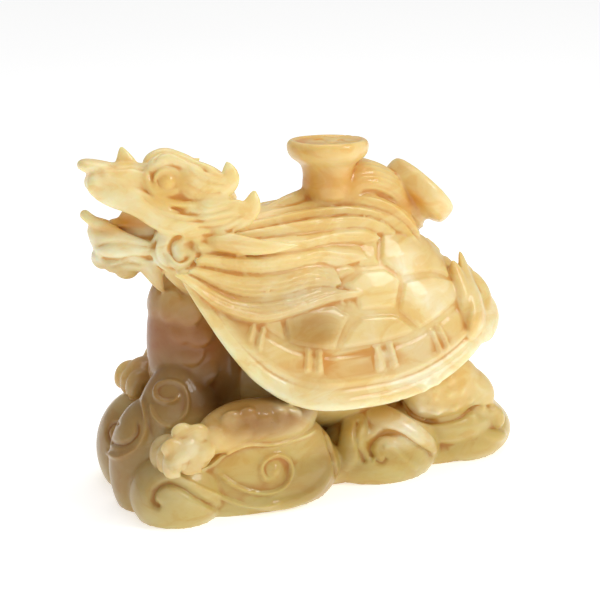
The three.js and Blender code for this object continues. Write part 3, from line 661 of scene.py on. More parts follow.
head_mass(33, 0, -11, [4.8, 5.2, 4.6])
for side in SIDES:
    head_mass(25, side * 4, -15.4, [4.6, 4, 3.8])
    head_mass(30, side * 3.4, -13.4, [3.4, 3.4, 3.2])

# The closed back of the mouth, and the tongue
head_mass(14.5, 0, 1, [13, 5.6, 9])
head_strand([[10, 0, -2.5], [22, 0, 0.4], [31, 0, 2]], 4.6, 2)

# Beard locks hang from the jaw and sweep back to the mane.
BEARD = (
    ((20, 6, -9), (16, 7.5, -16), (12, 7, -24.5)),
    ((12, 8, -10), (6, 10, -18), (-2, 11, -25), (-8, 12, -31)),
    ((2, 10, -12), (-6, 13, -16), (-16, 16, -19), (-26, 20, -24)),
    ((-2, 11, -4), (-12, 15, -6), (-24, 17, -8), (-38, 16, -8)),
)
for rows in BEARD:
    paired_strand(rows, 4.5, 3.5, swell="lock", flutes=10)


# Legs

# Round lumps on the limbs, as [x, z, radius]
LEG_LUMPS = (
    (-46.2, 40.4, 3.6), (-39.8, 40.8, 3.4), (-33.6, 38.4, 3.4), (-26.9, 38.8, 3.2), (-42.6, 35.4, 3.4),
    (-36, 34, 3.2), (-29, 35.4, 3.2), (-20.6, 37, 3.2),
)
PAW_LUMPS = (
    (-65.4, 38.4, 3.4), (-70.2, 34.0, 3.4), (-68.6, 28.0, 3.6), (-62.6, 25.4, 3.4), (-59.8, 37.4, 3.6),
    (-64.4, 32.4, 3.8), (-57.6, 30.2, 3.4), (-52.4, 35.4, 3.4),
)
THIGH_LUMPS = (
    (45.9, 27.4, 3.6), (52.5, 27.2, 3.4), (59.1, 28.8, 3.2), (50.2, 33.0, 3.4), (56.4, 34.6, 3.2),
    (43.4, 34.2, 3.4), (62.5, 33.6, 3.0),
)


def lumps(rows, side, centre_line, half_depth, raise_by=0.0):
    """Flattened round lumps on a limb's outer side, from rows of [x, z, radius].

    The limb is taken as an oval, a quarter higher than it is deep. A lump's y is where the oval has its
    height, sqrt(1 - height^2), less a tenth, so the lump is sunk in a little.
    """
    for x, z, radius in rows:
        spot = smooth_curve(centre_line)(np.array([np.interp(x, *limb_shares(centre_line))]))[0]
        over = np.clip((z - spot[2]) / (half_depth * 1.25), -0.9, 0.9)
        away = half_depth * math.sqrt(1 - over * over)
        y = spot[1] - side * away * 0.9
        mass([x, y, z + raise_by], [radius * 1.3, radius * 0.6, radius * 1.1])


def limb_shares(centre_line):
    """The x places of a limb's curve in rising order, and their shares of its way."""
    shares = np.linspace(0, 1, 60)
    x = smooth_curve(centre_line)(shares)[:, 0]
    order = np.argsort(x)
    return x[order], shares[order]


def toes(root, reach, spread, drop):
    """Three toes fan out from a paw and bend down to the wave, each with a round knuckle."""
    x, y, z = root
    for place in (-1, 0, 1):
        aside = place * spread
        start = [x, y + aside, z + 2]
        bend = [x + reach * 0.8, y + aside * 1.1, z + 1]
        tip = [x + reach, y + aside * 1.15, z - drop]
        strand([start, bend, tip], TOE_RADIUS)
        mass([x + reach * 0.75, y + aside * 1.1, z + 1], [TOE_RADIUS * 0.95] * 3)


NEAR_ARM = [[-6, -24, 34], [-24, -30, 35], [-42, -32, 36], [-58, -34, 32]]
FAR_ARM = [[-6, 24, 36], [-24, 29, 42], [-42, 28, 45], [-56, 22, 42]]
strand(NEAR_ARM, 9, 7.5, LEFT)
mass([-61, -33, 30], [9.4, 7.6, 9])
toes((-63, -32.5, 29), -8, 5.6, 7)
lumps(LEG_LUMPS, 1, NEAR_ARM, 7)
lumps(PAW_LUMPS, 1, [[-74, -32.5, 31], [-60, -33, 31], [-48, -32, 33]], 7)
strand(FAR_ARM, 9, 7.5, LEFT)
mass([-57, 21, 40], [8.5, 8.5, 8])
toes((-57, 21, 40), -7.5, 5.4, 6)
lumps(LEG_LUMPS, -1, FAR_ARM, 7, raise_by=8)

# The hind legs are the same on both sides: a thigh, a shin, a foot and its knuckles.
for side in SIDES:
    thigh = [[34, -side * 18, 34], [50, -side * 19, 33], [66, -side * 15, 27]]
    strand(thigh, 13, 10, LEFT)
    strand([[52, -side * 19, 35], [63, -side * 18, 30], [71, -side * 17, 20]], 8.5, 8.5, LEFT)
    mass([68, -side * 15.5, 17], [10.5, 9, 9.5])
    toes((69, -side * 15, 17), 6.5, 5.4, 5)
    lumps(THIGH_LUMPS, side, thigh, 9.2)
    for x, z in ((60, 20.5), (66.5, 21.5), (72, 20)):
        mass([x, -side * 22.6, z], [3.2, 2.6, 3.2])


# Tail

# Flames fan out from one root and rise behind the shell.
TAIL_ROOT = (58, 0, 42)
TAIL_FLAMES = (
    ((70, -3, 46), (77, -5, 57), (73, -4, 69), (67, -2, 79)),
    ((71, 6, 46), (78, 5, 56), (75, 4, 66), (71, 3, 73)),
    ((64, 22, 50), (70, 20, 58), (69, 17, 66), (65, 13, 73)),
)
# Flatter flames lie over the shell's rear left edge, as [half width, places].
SHELL_FLAMES = (
    (7.4, ((58, -28, 52), (62, -26, 60), (63.6, -21.5, 67), (63.4, -16, 73.5), (63.2, -9.5, 84))),
    (4.6, ((57, -27, 60), (58.5, -22, 70), (57.5, -18.6, 77), (56, -17, 83))),
    (5.6, ((62, -26, 54), (68.6, -20, 59.5), (71.4, -14.6, 66), (69.4, -12, 71.5), (66, -10.4, 76))),
    (4.6, ((62, -27.5, 52), (69, -23, 55.5), (74, -17.6, 58.6), (75, -14, 65))),
)
FLAME_OUT = BACK + 0.8 * LEFT + 0.3 * UP
for rows in TAIL_FLAMES:
    strand([TAIL_ROOT, *rows], 6, 3.6, FLAME_OUT, "lock", flutes=12)
for wide, rows in SHELL_FLAMES:
    strand(rows, wide, 3.4, FLAME_OUT, "leaf", flutes=14, flute_depth=0.08)
strand([[48, 0, 40], TAIL_ROOT, [75, 0, 50]], 15, 8)


# Waves

# Overlapping lobes, rounded above and drawn in towards the ground: x, y, half length, half width and height
WAVES = {
    "core": (2, 0, 68, 25, 19),
    "front left": (-62, -22, 18, 17, 26),
    "leaf": (-23, -18, 29, 20.5, 28),
    "crest": (27, -13, 25, 20, 27),
    "rear": (66, 1, 24, 27, 21),
    "front": (-65, -6, 17, 16, 42),
    "front right": (-59, 18, 19, 19, 36),
    "right": (-18, 18, 32, 20, 26),
    "back right": (30, 18, 30, 20, 24),
    "mound": (-55, -9, 19, 16, 56),
    "apron": (-30, -24, 32, 13, 37),
}
WAIST_SHARE = 0.36


def on_wave(name, bearing, rise):
    """A place on a lobe: an oval in plan, cos(rise) of its full size.

    Its height is the waist's plus the rest of the height times sin(rise). The bearing is 0 at the left side
    and grows towards the back.
    """
    x, y, length, width, height = WAVES[name]
    waist = height * WAIST_SHARE
    bearing, rise = np.broadcast_arrays(bearing, rise)
    ring = np.cos(rise)
    return np.stack(
        [
            x + length * ring * np.sin(bearing),
            y - width * ring * np.cos(bearing),
            waist + (height - waist) * np.sin(rise),
        ],
        axis=-1,
    )


def on_side(name, rows):
    """Places on a lobe's left side from rows of [x, z], and the ways out of the surface there.

    The depth of a place is sqrt(1 - climb^2 - aside^2), from its height over the waist and its x.
    """
    x, y, length, width, height = WAVES[name]
    waist = height * WAIST_SHARE
    rows = np.array(rows, float)
    climb = np.clip((rows[:, 1] - waist) / (height - waist), -0.98, 0.98)
    aside = (rows[:, 0] - x) / length
    depth = np.sqrt(np.maximum(1 - climb**2 - aside**2, 0.02))
    places = np.column_stack([rows[:, 0], y - width * depth, rows[:, 1]])
    centre = np.array([x, y, waist])
    outs = unit_vectors((places - centre) / np.array([length, width, height - waist]) ** 2)
    return places, outs


for name in WAVES:
    rise = np.linspace(np.pi / 2, -np.pi / 2, 60)[:, None]
    bearing = np.linspace(0, 2 * np.pi, 150, endpoint=False)
    stone.rings(on_wave(name, bearing, rise))


def wave_band(name, rows, wide, thick, swell="line"):
    """A band that lies on a lobe's left side, drawn by its places [x, z]."""
    places, outs = on_side(name, rows)
    strand(places, wide, thick, outs, swell)


# A broad roll goes round the crest wave, and two low masses fill the dip between it and the rear wave.
CREST_ROLL = ((6, 6), (8, 14), (11.6, 21), (17, 25.4), (24, 25), (31, 20.6), (38, 14.6), (45, 9))
wave_band("crest", CREST_ROLL, 5.4, 4.2, "round")
mass([58, -18, 16], [16, 10, 8])
mass([56, -15, 6], [18, 7, 8])
wave_band("rear", [(44, 15), (52, 15.6), (62, 14), (72, 10), (80, 8)], 2.6, 2)
wave_band("leaf", [(-52, 14), (-45, 9), (-34, 4.6), (-22, 3.4), (-11, 6), (-2, 12)], 3, 2)

# Curls on the waves that the photograph doesn't show: lobe, bearing and rise of the eye, reach and hand
CURLS = (
    ("right", 178, 16, 28, 1),
    ("back right", 176, 16, 28, -1),
)


def curl(name, bearing, rise, reach, hand):
    """A hook on a lobe that winds 3/4 of a turn round its eye, closing in to 0.55 of its reach."""
    shares = np.linspace(0, 1, 12)
    turned = (shares * 0.75 + 0.05) * 2 * np.pi
    spread = reach * (1 - 0.45 * shares)
    aside = bearing + hand * spread * np.cos(turned)
    hook = on_wave(name, np.radians(aside), np.radians(rise + spread * np.sin(turned)))
    eye = on_wave(name, math.radians(bearing), math.radians(rise))
    out = unit_vectors(eye - [WAVES[name][0], WAVES[name][1], 0])
    strand(hook, 2.6, 2.6, out)
    scale(eye, out, 3, 3, 3)


for row in CURLS:
    curl(*row)


# Neighbouring places

class Net:
    """The places of a mesh and its edges, for working with the mean of each place's neighbours."""

    def __init__(self, mesh):
        self.mesh = mesh
        self.count = len(mesh.vertices)
        self.edges = np.empty(len(mesh.edges) * 2, np.int64)
        mesh.edges.foreach_get("vertices", self.edges)
        self.edges = self.edges.reshape(-1, 2)
        self.neighbours = np.maximum(np.bincount(self.edges.ravel(), minlength=self.count), 1)

    def read(self, key):
        """The places ("co") or the outward normals ("normal") of the mesh, one row each."""
        values = np.empty(self.count * 3)
        self.mesh.vertices.foreach_get(key, values)
        return values.reshape(-1, 3)

    def means(self, values):
        """The mean of each place's neighbours, for a column of values."""
        total = np.bincount(self.edges[:, 0], values[self.edges[:, 1]], self.count)
        total += np.bincount(self.edges[:, 1], values[self.edges[:, 0]], self.count)
        return total / self.neighbours

    def pulls(self, places):
        """The way from each place to the mean of its neighbours."""
        return np.column_stack([self.means(places[:, k]) for k in range(3)]) - places


# Fine lines

# They are drawn as the photograph shows them. A line is its height in millimetres (a bead where it is
# over 0, a groove where it is under 0), its half width, and its places across and up from the middle of the
# picture, in millimetres of the plane through the camera's target. A line of one place is a round dot.
# Those of the face lie on both of its sides.
FACE_LINES = (
    (-0.4, 0.6, ((-44.2, 53.8), (-36.5, 49.6), (-30, 47.3))),
    (-0.35, 0.6, ((-43.8, 50), (-36.5, 45.8), (-28.5, 44.2))),
    (-0.4, 0.6, ((-45, 45.8), (-37.3, 41.5), (-30, 41.2))),
    (-0.9, 0.7, ((-56.9, 52.3), (-54.6, 55.8), (-50, 56.9), (-44.2, 54.6), (-38.5, 51.9), (-34.6, 48.8))),
    (-0.5, 0.7, ((-61.9, 40.8), (-55.8, 36.2), (-46.2, 33.5), (-36.5, 33.1), (-23.8, 36.2))),
    (-0.5, 0.7, ((-57.7, 35.4), (-48.1, 31.2), (-36.5, 30.4), (-22.3, 33.1))),
    (-0.45, 0.7, ((-40.4, 27.7), (-30.8, 28.5), (-20.8, 33.5))),
    (-0.45, 0.7, ((-38.5, 24.6), (-28.8, 25.8), (-21.9, 29.6))),
    (-1.6, 1.1, ((-44.6, 24.2), (-48.1, 23.1), (-50, 20.4), (-49.2, 16.9), (-45.8, 15.4), (-42.3, 17.7))),
    (-1, 1, ((-55.4, 24.6), (-56.5, 18.8), (-53.8, 13.5), (-47.7, 11.4), (-41.2, 13.8), (-38.1, 19.6))),
    (-0.5, 0.7, ((-73.8, 52.7), (-70, 50.8), (-64.6, 51.2), (-59.6, 49.6))),
    (-0.6, 0.8, ((-78.8, 20.4), (-73.1, 21.9), (-65.4, 21.5), (-57.7, 20.4))),
    (-0.6, 0.8, ((-77.3, 16.2), (-71.2, 15.4), (-63.5, 16.5), (-55.8, 15.8))),
    (-0.6, 0.8, ((-73.1, 12.3), (-67.3, 14.2), (-60.8, 13.5))),
)
BASE_LINES = (
    # Worn marks on the top of the upper cap
    (-0.5, 0.6, ((4.6, 61.4), (8.1, 62), (11.8, 60.6), (15.4, 61.8), (19, 60.8), (23.2, 61.3))),
    (-0.4, 0.5, ((8, 63.5), (13, 62.8), (18, 63.6), (22, 62.9))),
    # Lumps on the hind thigh
    *((0.9, 1.7, (spot,)) for spot in (
        (48, -33.8), (53, -31.3), (58, -30.4), (51.3, -38), (57.2, -36.3), (62.2, -34.6),
        (46.3, -42.1), (53, -43), (59.7, -41.3), (65.5, -38.8), (70.6, -41.3), (66.4, -44.6),
    )),
    # The leaf wave: two beads that meet in its point, the lower one wound round a ball
    (1.2, 0.8, (
        (8.1, -48.8), (0.4, -52.7), (-10, -55.4), (-20.4, -55.4), (-28.7, -59), (-34.6, -63.8),
        (-41.5, -66.9),
    )),
    (1.2, 0.8, (
        (-33.8, -64.2), (-27.7, -69.4), (-20.4, -73.1), (-11.9, -74.1), (-5.8, -71.5), (-3.2, -66.2),
        (-4.7, -61.2), (-8.5, -59.6), (-12.3, -60.8), (-15, -64.2), (-13.8, -68.1), (-10.4, -69.6),
    )),
    (1.6, 2.4, ((-10, -65.8),)),
    # The rim of the band under it, and the tongue's hooked groove
    (0.9, 0.9, ((-51.9, -63.8), (-44.2, -69.2), (-32.7, -74.6), (-19.2, -79.2), (-5.8, -78.1))),
    (-2, 1.4, (
        (-29.6, -81.4), (-38.1, -76.7), (-46.3, -71.5), (-51.5, -70.4), (-56.2, -73.5), (-56.7, -77.7),
        (-52.7, -80.8),
    )),
    # The branching ridge and the curl of the front wave
    (1.2, 1.1, (
        (-60.8, -36.2), (-59.6, -42.3), (-59.2, -46.5), (-60.4, -53.1), (-63.8, -57.7), (-70.4, -60.4),
        (-75.4, -57.7),
    )),
    (-1.1, 0.9, (
        (-62.7, -45.4), (-62.7, -51.2), (-66.9, -55.4), (-72.3, -55), (-74.2, -51.2), (-72.3, -47.7),
        (-68.8, -47.7),
    )),
    # The curl above the near paw
    (1.1, 0.9, (
        (-46.9, -35), (-47.7, -38.1), (-51.5, -39.2), (-55.4, -36.9), (-55, -33.1), (-50.8, -31.2),
        (-46.2, -32.3), (-43.5, -36.9), (-43.8, -43.1), (-47.7, -47.7),
    )),
    (1, 0.9, ((-57.3, -39.2), (-56.2, -43.8), (-53.5, -47.3), (-49.2, -49.2))),
    # The crest wave: its two valleys, the groove under its roll, and the tongue with its hook
    (-1.6, 1.2, ((8.7, -48.1), (12.5, -59.6), (14.4, -68.1))),
    (-1.2, 1.2, ((22.6, -45.2), (21.5, -51.9), (23.5, -58.5), (25, -63.5))),
    (-2.2, 1.5, ((28.8, -62.5), (26.9, -56.7), (31.2, -51.5), (38.5, -52.3), (45.2, -56.7), (52.9, -61.5))),
    (0.9, 1.4, ((31.7, -56.2), (35.6, -56.7), (40.4, -61.5), (46.2, -65.4))),
    (-1, 1, ((28.8, -61.5), (31.5, -62.7), (33.8, -60.4))),
    # The foot of the hind thigh
    (-1, 0.9, ((38.5, -37.5), (43.3, -44.2), (51.9, -47.1), (61.5, -45.2), (67.3, -41.3), (76.9, -41.3))),
)
# Places on a line lie this far apart. It is felt as far out as this many of its half widths.
LINE_STEP = 0.3
LINE_REACH = 2.4


def met(block, places, mirrored):
    """Where lines of sight through places of the picture meet the surface, and which way it faces there.

    The lines of sight start where the photograph was taken from, whatever the render's view. Mirrored ones
    are reflected in the middle plane of the head.
    """
    eye = CAMERA_TARGET + CAMERA_DISTANCE * PICTURE_BACK
    ways = unit_vectors(CAMERA_TARGET + places @ np.array([PICTURE_RIGHT, PICTURE_UP]) - eye)
    if mirrored:
        eye = eye - 2 * ((eye - HEAD_PLACE) @ HEAD_LEFT) * HEAD_LEFT
        ways = ways - 2 * (ways @ HEAD_LEFT)[:, None] * HEAD_LEFT
    hits = [block.ray_cast(Vector(eye), Vector(way)) for way in ways]
    return np.array([[*spot, *out] for hit, spot, out, _ in hits if hit]).reshape(-1, 2, 3)


def along_line(rows):
    """Places LINE_STEP apart on the smooth curve through a line's rows. A dot stays as it is."""
    drawn = np.array(rows, float)
    if len(drawn) == 1:
        return drawn
    length = np.linalg.norm(np.diff(drawn, axis=0), axis=1).sum()
    return smooth_curve(drawn)(np.linspace(0, 1, int(length / LINE_STEP)))


def line_rise(places, normals, hits, height, half_width):
    """The places near a line, and how far each rises: height * exp(-(distance / half width)^2).

    The rise fades in and out over a tenth of the line, and is lost on surfaces that face another way.
    """
    spots, outs = hits[:, 0], hits[:, 1]
    reach = LINE_REACH * half_width
    inside = (places > spots.min(axis=0) - reach) & (places < spots.max(axis=0) + reach)
    near = np.flatnonzero(inside.all(axis=1))
    gaps = (places[near] ** 2).sum(axis=1)[:, None] + (spots**2).sum(axis=1)
    gaps = gaps - 2 * places[near] @ spots.T
    nearest = gaps.argmin(axis=1)
    fade = 1.0
    if len(spots) > 1:
        share = nearest / (len(spots) - 1)
        fade = eased(share, 0, 0.1) * (1 - eased(share, 0.9, 1))
    facing = eased((normals[near] * outs[nearest]).sum(axis=1), 0, 0.5)
    closest = np.maximum(gaps.min(axis=1), 0)
    return near, height * fade * facing * np.exp(-closest / half_width**2)


def carve(block, mesh):
    """Raises or sinks the surface along all the lines, by the sum of their rises along its normals."""
    net = Net(mesh)
    places = net.read("co")
    normals = net.read("normal")
    total = np.zeros(net.count)
    for lines, views in ((FACE_LINES, (False, True)), (BASE_LINES, (False,))):
        for height, half_width, rows in lines:
            for mirrored in views:
                hits = met(block, along_line(rows), mirrored)
                if len(hits):
                    near, rise = line_rise(places, normals, hits, height, half_width)
                    total[near] += rise
    mesh.vertices.foreach_set("co", (places + total[:, None] * normals).ravel())
    mesh.update()


# One carved surface

# Where the carving is soft: x, y, z, reach in x, in y, in z, and softness
SOFT = (
    (0, 0, 6, 110, 60, 26, 0.7),
    (-50, 0, 58, 26, 40, 28, 0.9),
    (-34, -32, 36, 50, 16, 16, 1.0),
    (-34, 30, 40, 50, 16, 16, 0.8),
    (-58, 2, 110, 44, 24, 30, 0.5),
    (10, 0, 128, 22, 22, 12, 0.3),
    (12, 0, 112, 20, 14, 12, 0.7),
    (54, 0, 108, 22, 22, 14, 0.7),
    (66, -18, 66, 16, 20, 26, 0.7),
    (60, -22, 26, 26, 16, 18, 0.9),
)
SOFT_ROUNDS = 14
FILL_ROUNDS = 32
# What is lower than this, in millimetres, is set flat on the ground.
GROUND_CUT = 0.45


def soften(mesh):
    """Rounds off the waves and limbs and fills their creases, and leaves the fine carving as it is.

    Each round moves a place half way to the mean of its neighbours, for as many rounds as its softness
    gives. The filling rounds move it only outwards, along its normal.
    """
    net = Net(mesh)
    places = net.read("co")
    softness = np.zeros(net.count)
    for x, y, z, *reach, strength in SOFT:
        away = (((places - [x, y, z]) / reach) ** 2).sum(axis=1)
        softness = np.maximum(softness, strength * (1 - eased(away, 0.5, 1.1)))
    for turn in range(SOFT_ROUNDS):
        share = np.clip(softness * SOFT_ROUNDS - turn, 0, 1)[:, None]
        places = places + 0.5 * share * net.pulls(places)
    for turn in range(FILL_ROUNDS):
        if turn % 8 == 0:
            mesh.vertices.foreach_set("co", places.ravel())
            mesh.update()
            normals = net.read("normal")
        outwards = np.maximum((net.pulls(places) * normals).sum(axis=1), 0)
        places = places + 0.5 * (softness * outwards)[:, None] * normals
    mesh.vertices.foreach_set("co", places.ravel())
    mesh.update()


def joined_surface():
    """The skins as one surface: cut flat at the ground, redrawn on a fine grid, smoothed and thinned."""
    corners = np.vstack(stone.corners)
    corners[:, 2] = np.maximum(corners[:, 2], 0)
    faces = np.vstack(stone.faces)
    rough = bpy.data.meshes.new("rough")
    rough.from_pydata(corners, [], faces.tolist())
    rough.update()
    block = bpy.data.objects.new("rough", rough)
    bpy.context.scene.collection.objects.link(block)
    remesh = block.modifiers.new("join", "REMESH")
    remesh.mode = "VOXEL"
    remesh.voxel_size = GRAIN
    polish = block.modifiers.new("polish", "SMOOTH")
    polish.factor = 0.5
    polish.iterations = 2
    graph = bpy.context.evaluated_depsgraph_get()
    made = bpy.data.meshes.new_from_object(block.evaluated_get(graph))
    soften(made)
    block.modifiers.clear()
    block.data = made
    bpy.context.view_layer.update()
    carve(block, made)
    made.calc_loop_triangles()
    thin = block.modifiers.new("thin", "DECIMATE")
    thin.ratio = min(1.0, MOST_TRIANGLES / len(made.loop_triangles))
    graph = bpy.context.evaluated_depsgraph_get()
    thinned = bpy.data.meshes.new_from_object(block.evaluated_get(graph))
    bpy.data.objects.remove(block)
    bpy.data.meshes.remove(rough)
    bpy.data.meshes.remove(made)
    return thinned


surface = joined_surface()
net = Net(surface)
count = net.count
places = net.read("co")
places[:, 2] = np.where(places[:, 2] < GROUND_CUT, 0, places[:, 2])
surface.vertices.foreach_set("co", ((places - DRAWING_MIDDLE) / 1000).ravel())
surface.update()
surface.name = "onyx_carving"
normals = net.read("normal")


def hollow(rounds):
    """How far the surface lies below its surroundings, in millimetres.

    Each round moves every place half way to the mean of its neighbours. The result is the way from the
    place to where it ends, along the outward normal.
    """
    eased_places = places.copy()
    for _ in range(rounds):
        eased_places += 0.5 * net.pulls(eased_places)
    return ((eased_places - places) * normals).sum(axis=1)


def blended(values, rounds):
    """Values of the places, each moved half way to the mean of its neighbours in every round."""
    for _ in range(rounds):
        values = 0.5 * (values + net.means(values))
    return values


fine_hollow = blended(hollow(8), 2)
broad_hollow = blended(hollow(70), 8)


# Colour of the stone, with painted shade and painted highlights

HONEY = (0.79, 0.58, 0.23)
CREAM = (0.93, 0.75, 0.37)
PALE = (0.94, 0.8, 0.47)
GOLD = (0.82, 0.52, 0.13)
AMBER = (0.70, 0.30, 0.01)
PAINTED_SHELL_SHADOW = (0.33, 0.16, 0.03)
RUSSET = (0.31, 0.11, 0.02)
OLIVE = (0.51, 0.38, 0.105)
UMBER = (0.30, 0.17, 0.045)
PAINTED_SHADE = (0.2, 0.09, 0.02)
COPPER = (0.48, 0.28, 0.07)
OCHRE = (0.58, 0.41, 0.14)
FAWN = (0.68, 0.52, 0.26)
SAND = (0.68, 0.54, 0.26)
MOSS = (0.40, 0.26, 0.06)
PEAT = (0.40, 0.26, 0.07)
BUTTER = (0.9, 0.71, 0.32)
STRAW = (0.76, 0.56, 0.2)
WHEAT = (0.78, 0.62, 0.34)
PAINTED_CREST_HIGHLIGHT = (0.84, 0.75, 0.5)

# The stone is honey, but for these regions: centre, reach in x, y and z, strength and colour. Later ones lie
# over earlier ones. A region is full to 0.4 of its reach and gone at 1.3 of it. Some regions are painted
# shade or painted highlights, as the comments above them say.
REGIONS = (
    # The waves, the head and the mane
    # The olive of the waves is partly their own colour and partly painted shade on the lower figure.
    ((0, 0, 0), (150, 110, 34), 0.95, OLIVE),
    ((-56, 2, 112), (44, 40, 30), 0.9, CREAM),
    ((-82, 6, 118), (16, 18, 14), 1.0, PALE),
    ((-56, -6, 121), (10, 16, 8), 0.9, GOLD),
    ((-78, 6, 88), (18, 18, 15), 0.8, OCHRE),
    ((-68, 5, 104), (14, 8, 7), 0.9, AMBER),
    ((-12, -24, 98), (34, 20, 12), 0.5, CREAM),
    ((-14, -30, 78), (34, 14, 12), 0.6, FAWN),
    # The chest, the front waves and the near limbs
    # The dark brown of the chest is partly its own colour and partly painted shade under the head.
    ((-50, 0, 60), (30, 32, 28), 1.0, RUSSET),
    ((-84, 2, 26), (26, 44, 36), 0.9, UMBER),
    ((-60, -12, 44), (20, 18, 18), 0.85, UMBER),
    # Painted shade in the gap between the near arm and the chest, under the shell.
    ((-42, -22, 44), (16, 12, 12), 0.85, PAINTED_SHADE),
    ((-64, -36, 30), (12, 12, 12), 0.7, SAND),
    # Painted shadow of the shell on the near arm.
    ((-31, -35, 41), (26, 15, 12), 0.95, PAINTED_SHELL_SHADOW),
    ((-16, -38, 10), (12, 12, 10), 0.7, MOSS),
    # The caps and the hump
    # The deep orange of the stem under the upper cap is partly its own colour and partly painted shade.
    ((12, 0, 116), (15, 14, 11), 1.0, AMBER),
    ((10, 0, 134), (20, 20, 8), 0.8, GOLD),
    ((28, 0, 116), (12, 16, 8), 0.2, GOLD),
    # The deep orange under the lower cap is partly its own colour and partly painted shade.
    ((42, 0, 106), (8, 18, 10), 0.7, AMBER),
    ((57, 0, 106), (9, 20, 14), 0.7, BUTTER),
    # The scutes, the band, the crest wave and the tail
    ((20, -25, 79), (14, 14, 11), 0.5, CREAM),
    ((41, -26, 73), (14, 14, 10), 0.5, PALE),
    # A painted highlight on the upper scute.
    ((34, -19, 85), (9, 9, 6), 0.7, PALE),
    ((-11, -30, 67), (13, 12, 8), 0.9, COPPER),
    ((10, -33, 55), (50, 16, 8), 0.6, WHEAT),
    ((0, -36, 10), (16, 14, 14), 0.8, PEAT),
    # A painted highlight along the crest wave.
    ((34, -32, 22), (20, 12, 8), 0.8, PAINTED_CREST_HIGHLIGHT),
    ((66, -18, 66), (12, 12, 16), 0.7, STRAW),
)
stone_and_painted_light = np.broadcast_to(HONEY, (count, 3)).copy()
for centre, reaches, strength, colour in REGIONS:
    away = np.linalg.norm((places - centre) / reaches, axis=1)
    share = strength * (1 - eased(away, 0.4, 1.3))
    stone_and_painted_light += (np.array(colour) - stone_and_painted_light) * share[:, None]

# The lip of the shell is pale. The share of a place is its distance from the middle in the squared plan.
LIP_COLOUR = (0.88, 0.78, 0.46)
plan = (places[:, :2] - [SHELL_CENTRE, 0]) / [SHELL_HALF_LENGTH, SHELL_HALF_WIDTH]
plan_share = (np.abs(plan) ** SHELL_SQUARENESS).sum(axis=1) ** (1 / SHELL_SQUARENESS)
plan_angle = np.arctan2(*(np.sign(plan) * np.abs(plan) ** (SHELL_SQUARENESS / 2)).T[::-1])
from_edge = np.abs(places[:, 2] - edge_height(plan_angle) + 1)
lip_share = eased(plan_share, 0.95, 0.985) * (1 - eased(from_edge, 4, 8)) * 0.85
stone_and_painted_light += (np.array(LIP_COLOUR) - stone_and_painted_light) * lip_share[:, None]


def attribute(name, kind, key, values):
    """Keeps values of the places on the mesh, for its material to read."""
    made = surface.attributes.new(name, kind, "POINT")
    made.data.foreach_set(key, np.asarray(values, np.float32).ravel())


# 0.5 on even ground, more in a hollow and less on a ridge. The material paints shade in the hollows
# and a highlight on the ridges from this.
FINE_SHARE = 1.25
BROAD_SHARE = 0.1
depth = 0.5 + fine_hollow * FINE_SHARE + broad_hollow * BROAD_SHARE
attribute("hollow", "FLOAT", "value", np.clip(depth, 0, 1))
attribute("stone", "FLOAT_COLOR", "color", np.column_stack([stone_and_painted_light, np.ones(count)]))
surface.polygons.foreach_set("use_smooth", np.ones(len(surface.polygons), bool))


# Materials

class Wire:
    """A node's output that can be added, multiplied and so on; each sum is a new node's output."""

    def __init__(self, tree, socket=None):
        self.tree = tree
        self.socket = socket

    def node(self, kind, settings=None, inputs=None, output=0):
        """Makes a node, sets it up, joins or fills its inputs and gives one of its outputs."""
        made = self.tree.nodes.new(kind)
        for name, value in (settings or {}).items():
            setattr(made, name, value)
        for name, value in (inputs or {}).items():
            if isinstance(value, Wire):
                self.tree.links.new(value.socket, made.inputs[name])
            else:
                made.inputs[name].default_value = value
        return Wire(self.tree, made.outputs[output])

    def maths(self, operation, first, second=0.0):
        """One sum of two values."""
        return self.node("ShaderNodeMath", {"operation": operation}, {0: first, 1: second})

    def __add__(self, other):
        return self.maths("ADD", self, other)

    __radd__ = __add__

    def __mul__(self, other):
        return self.maths("MULTIPLY", self, other)

    __rmul__ = __mul__

    def held(self, low, high):
        """The value, kept between two limits."""
        return self.maths("MINIMUM", self.maths("MAXIMUM", self, low), high)

    def between(self, low, high):
        """0 below low, 1 above high, and smooth between."""
        settings = {"interpolation_type": "SMOOTHSTEP"}
        return self.node("ShaderNodeMapRange", settings, {"Value": self, "From Min": low, "From Max": high})

    def mixed(self, first, second, blend="MIX"):
        """The first colour where this is 0 and the second where it is 1."""
        settings = {"data_type": "RGBA", "blend_type": blend, "clamp_factor": True}
        return self.node("ShaderNodeMix", settings, {0: self, 6: first, 7: second}, 2)

    def noise(self, scale, detail=3.0, roughness=0.5, stretch=(1, 1, 1), distortion=0.0):
        """Cloudy noise at this place, with `scale` clouds to the metre."""
        spot = self.node("ShaderNodeVectorMath", {"operation": "MULTIPLY"}, {0: self, 1: stretch})
        inputs = {"Vector": spot, "Scale": scale, "Detail": detail, "Roughness": roughness}
        inputs["Distortion"] = distortion
        return self.node("ShaderNodeTexNoise", None, inputs)


def new_material(name):
    """A material with an empty shader, its wires and its shader node."""
    material = bpy.data.materials.new(name)
    material.use_nodes = True
    tree = material.node_tree
    tree.nodes.clear()
    shader = tree.nodes.new("ShaderNodeBsdfPrincipled")
    output = tree.nodes.new("ShaderNodeOutputMaterial")
    tree.links.new(shader.outputs[0], output.inputs["Surface"])
    return material, Wire(tree), shader


def join(wire, shader, name):
    """Joins a wire to one of the shader's inputs."""
    wire.tree.links.new(wire.socket, shader.inputs[name])


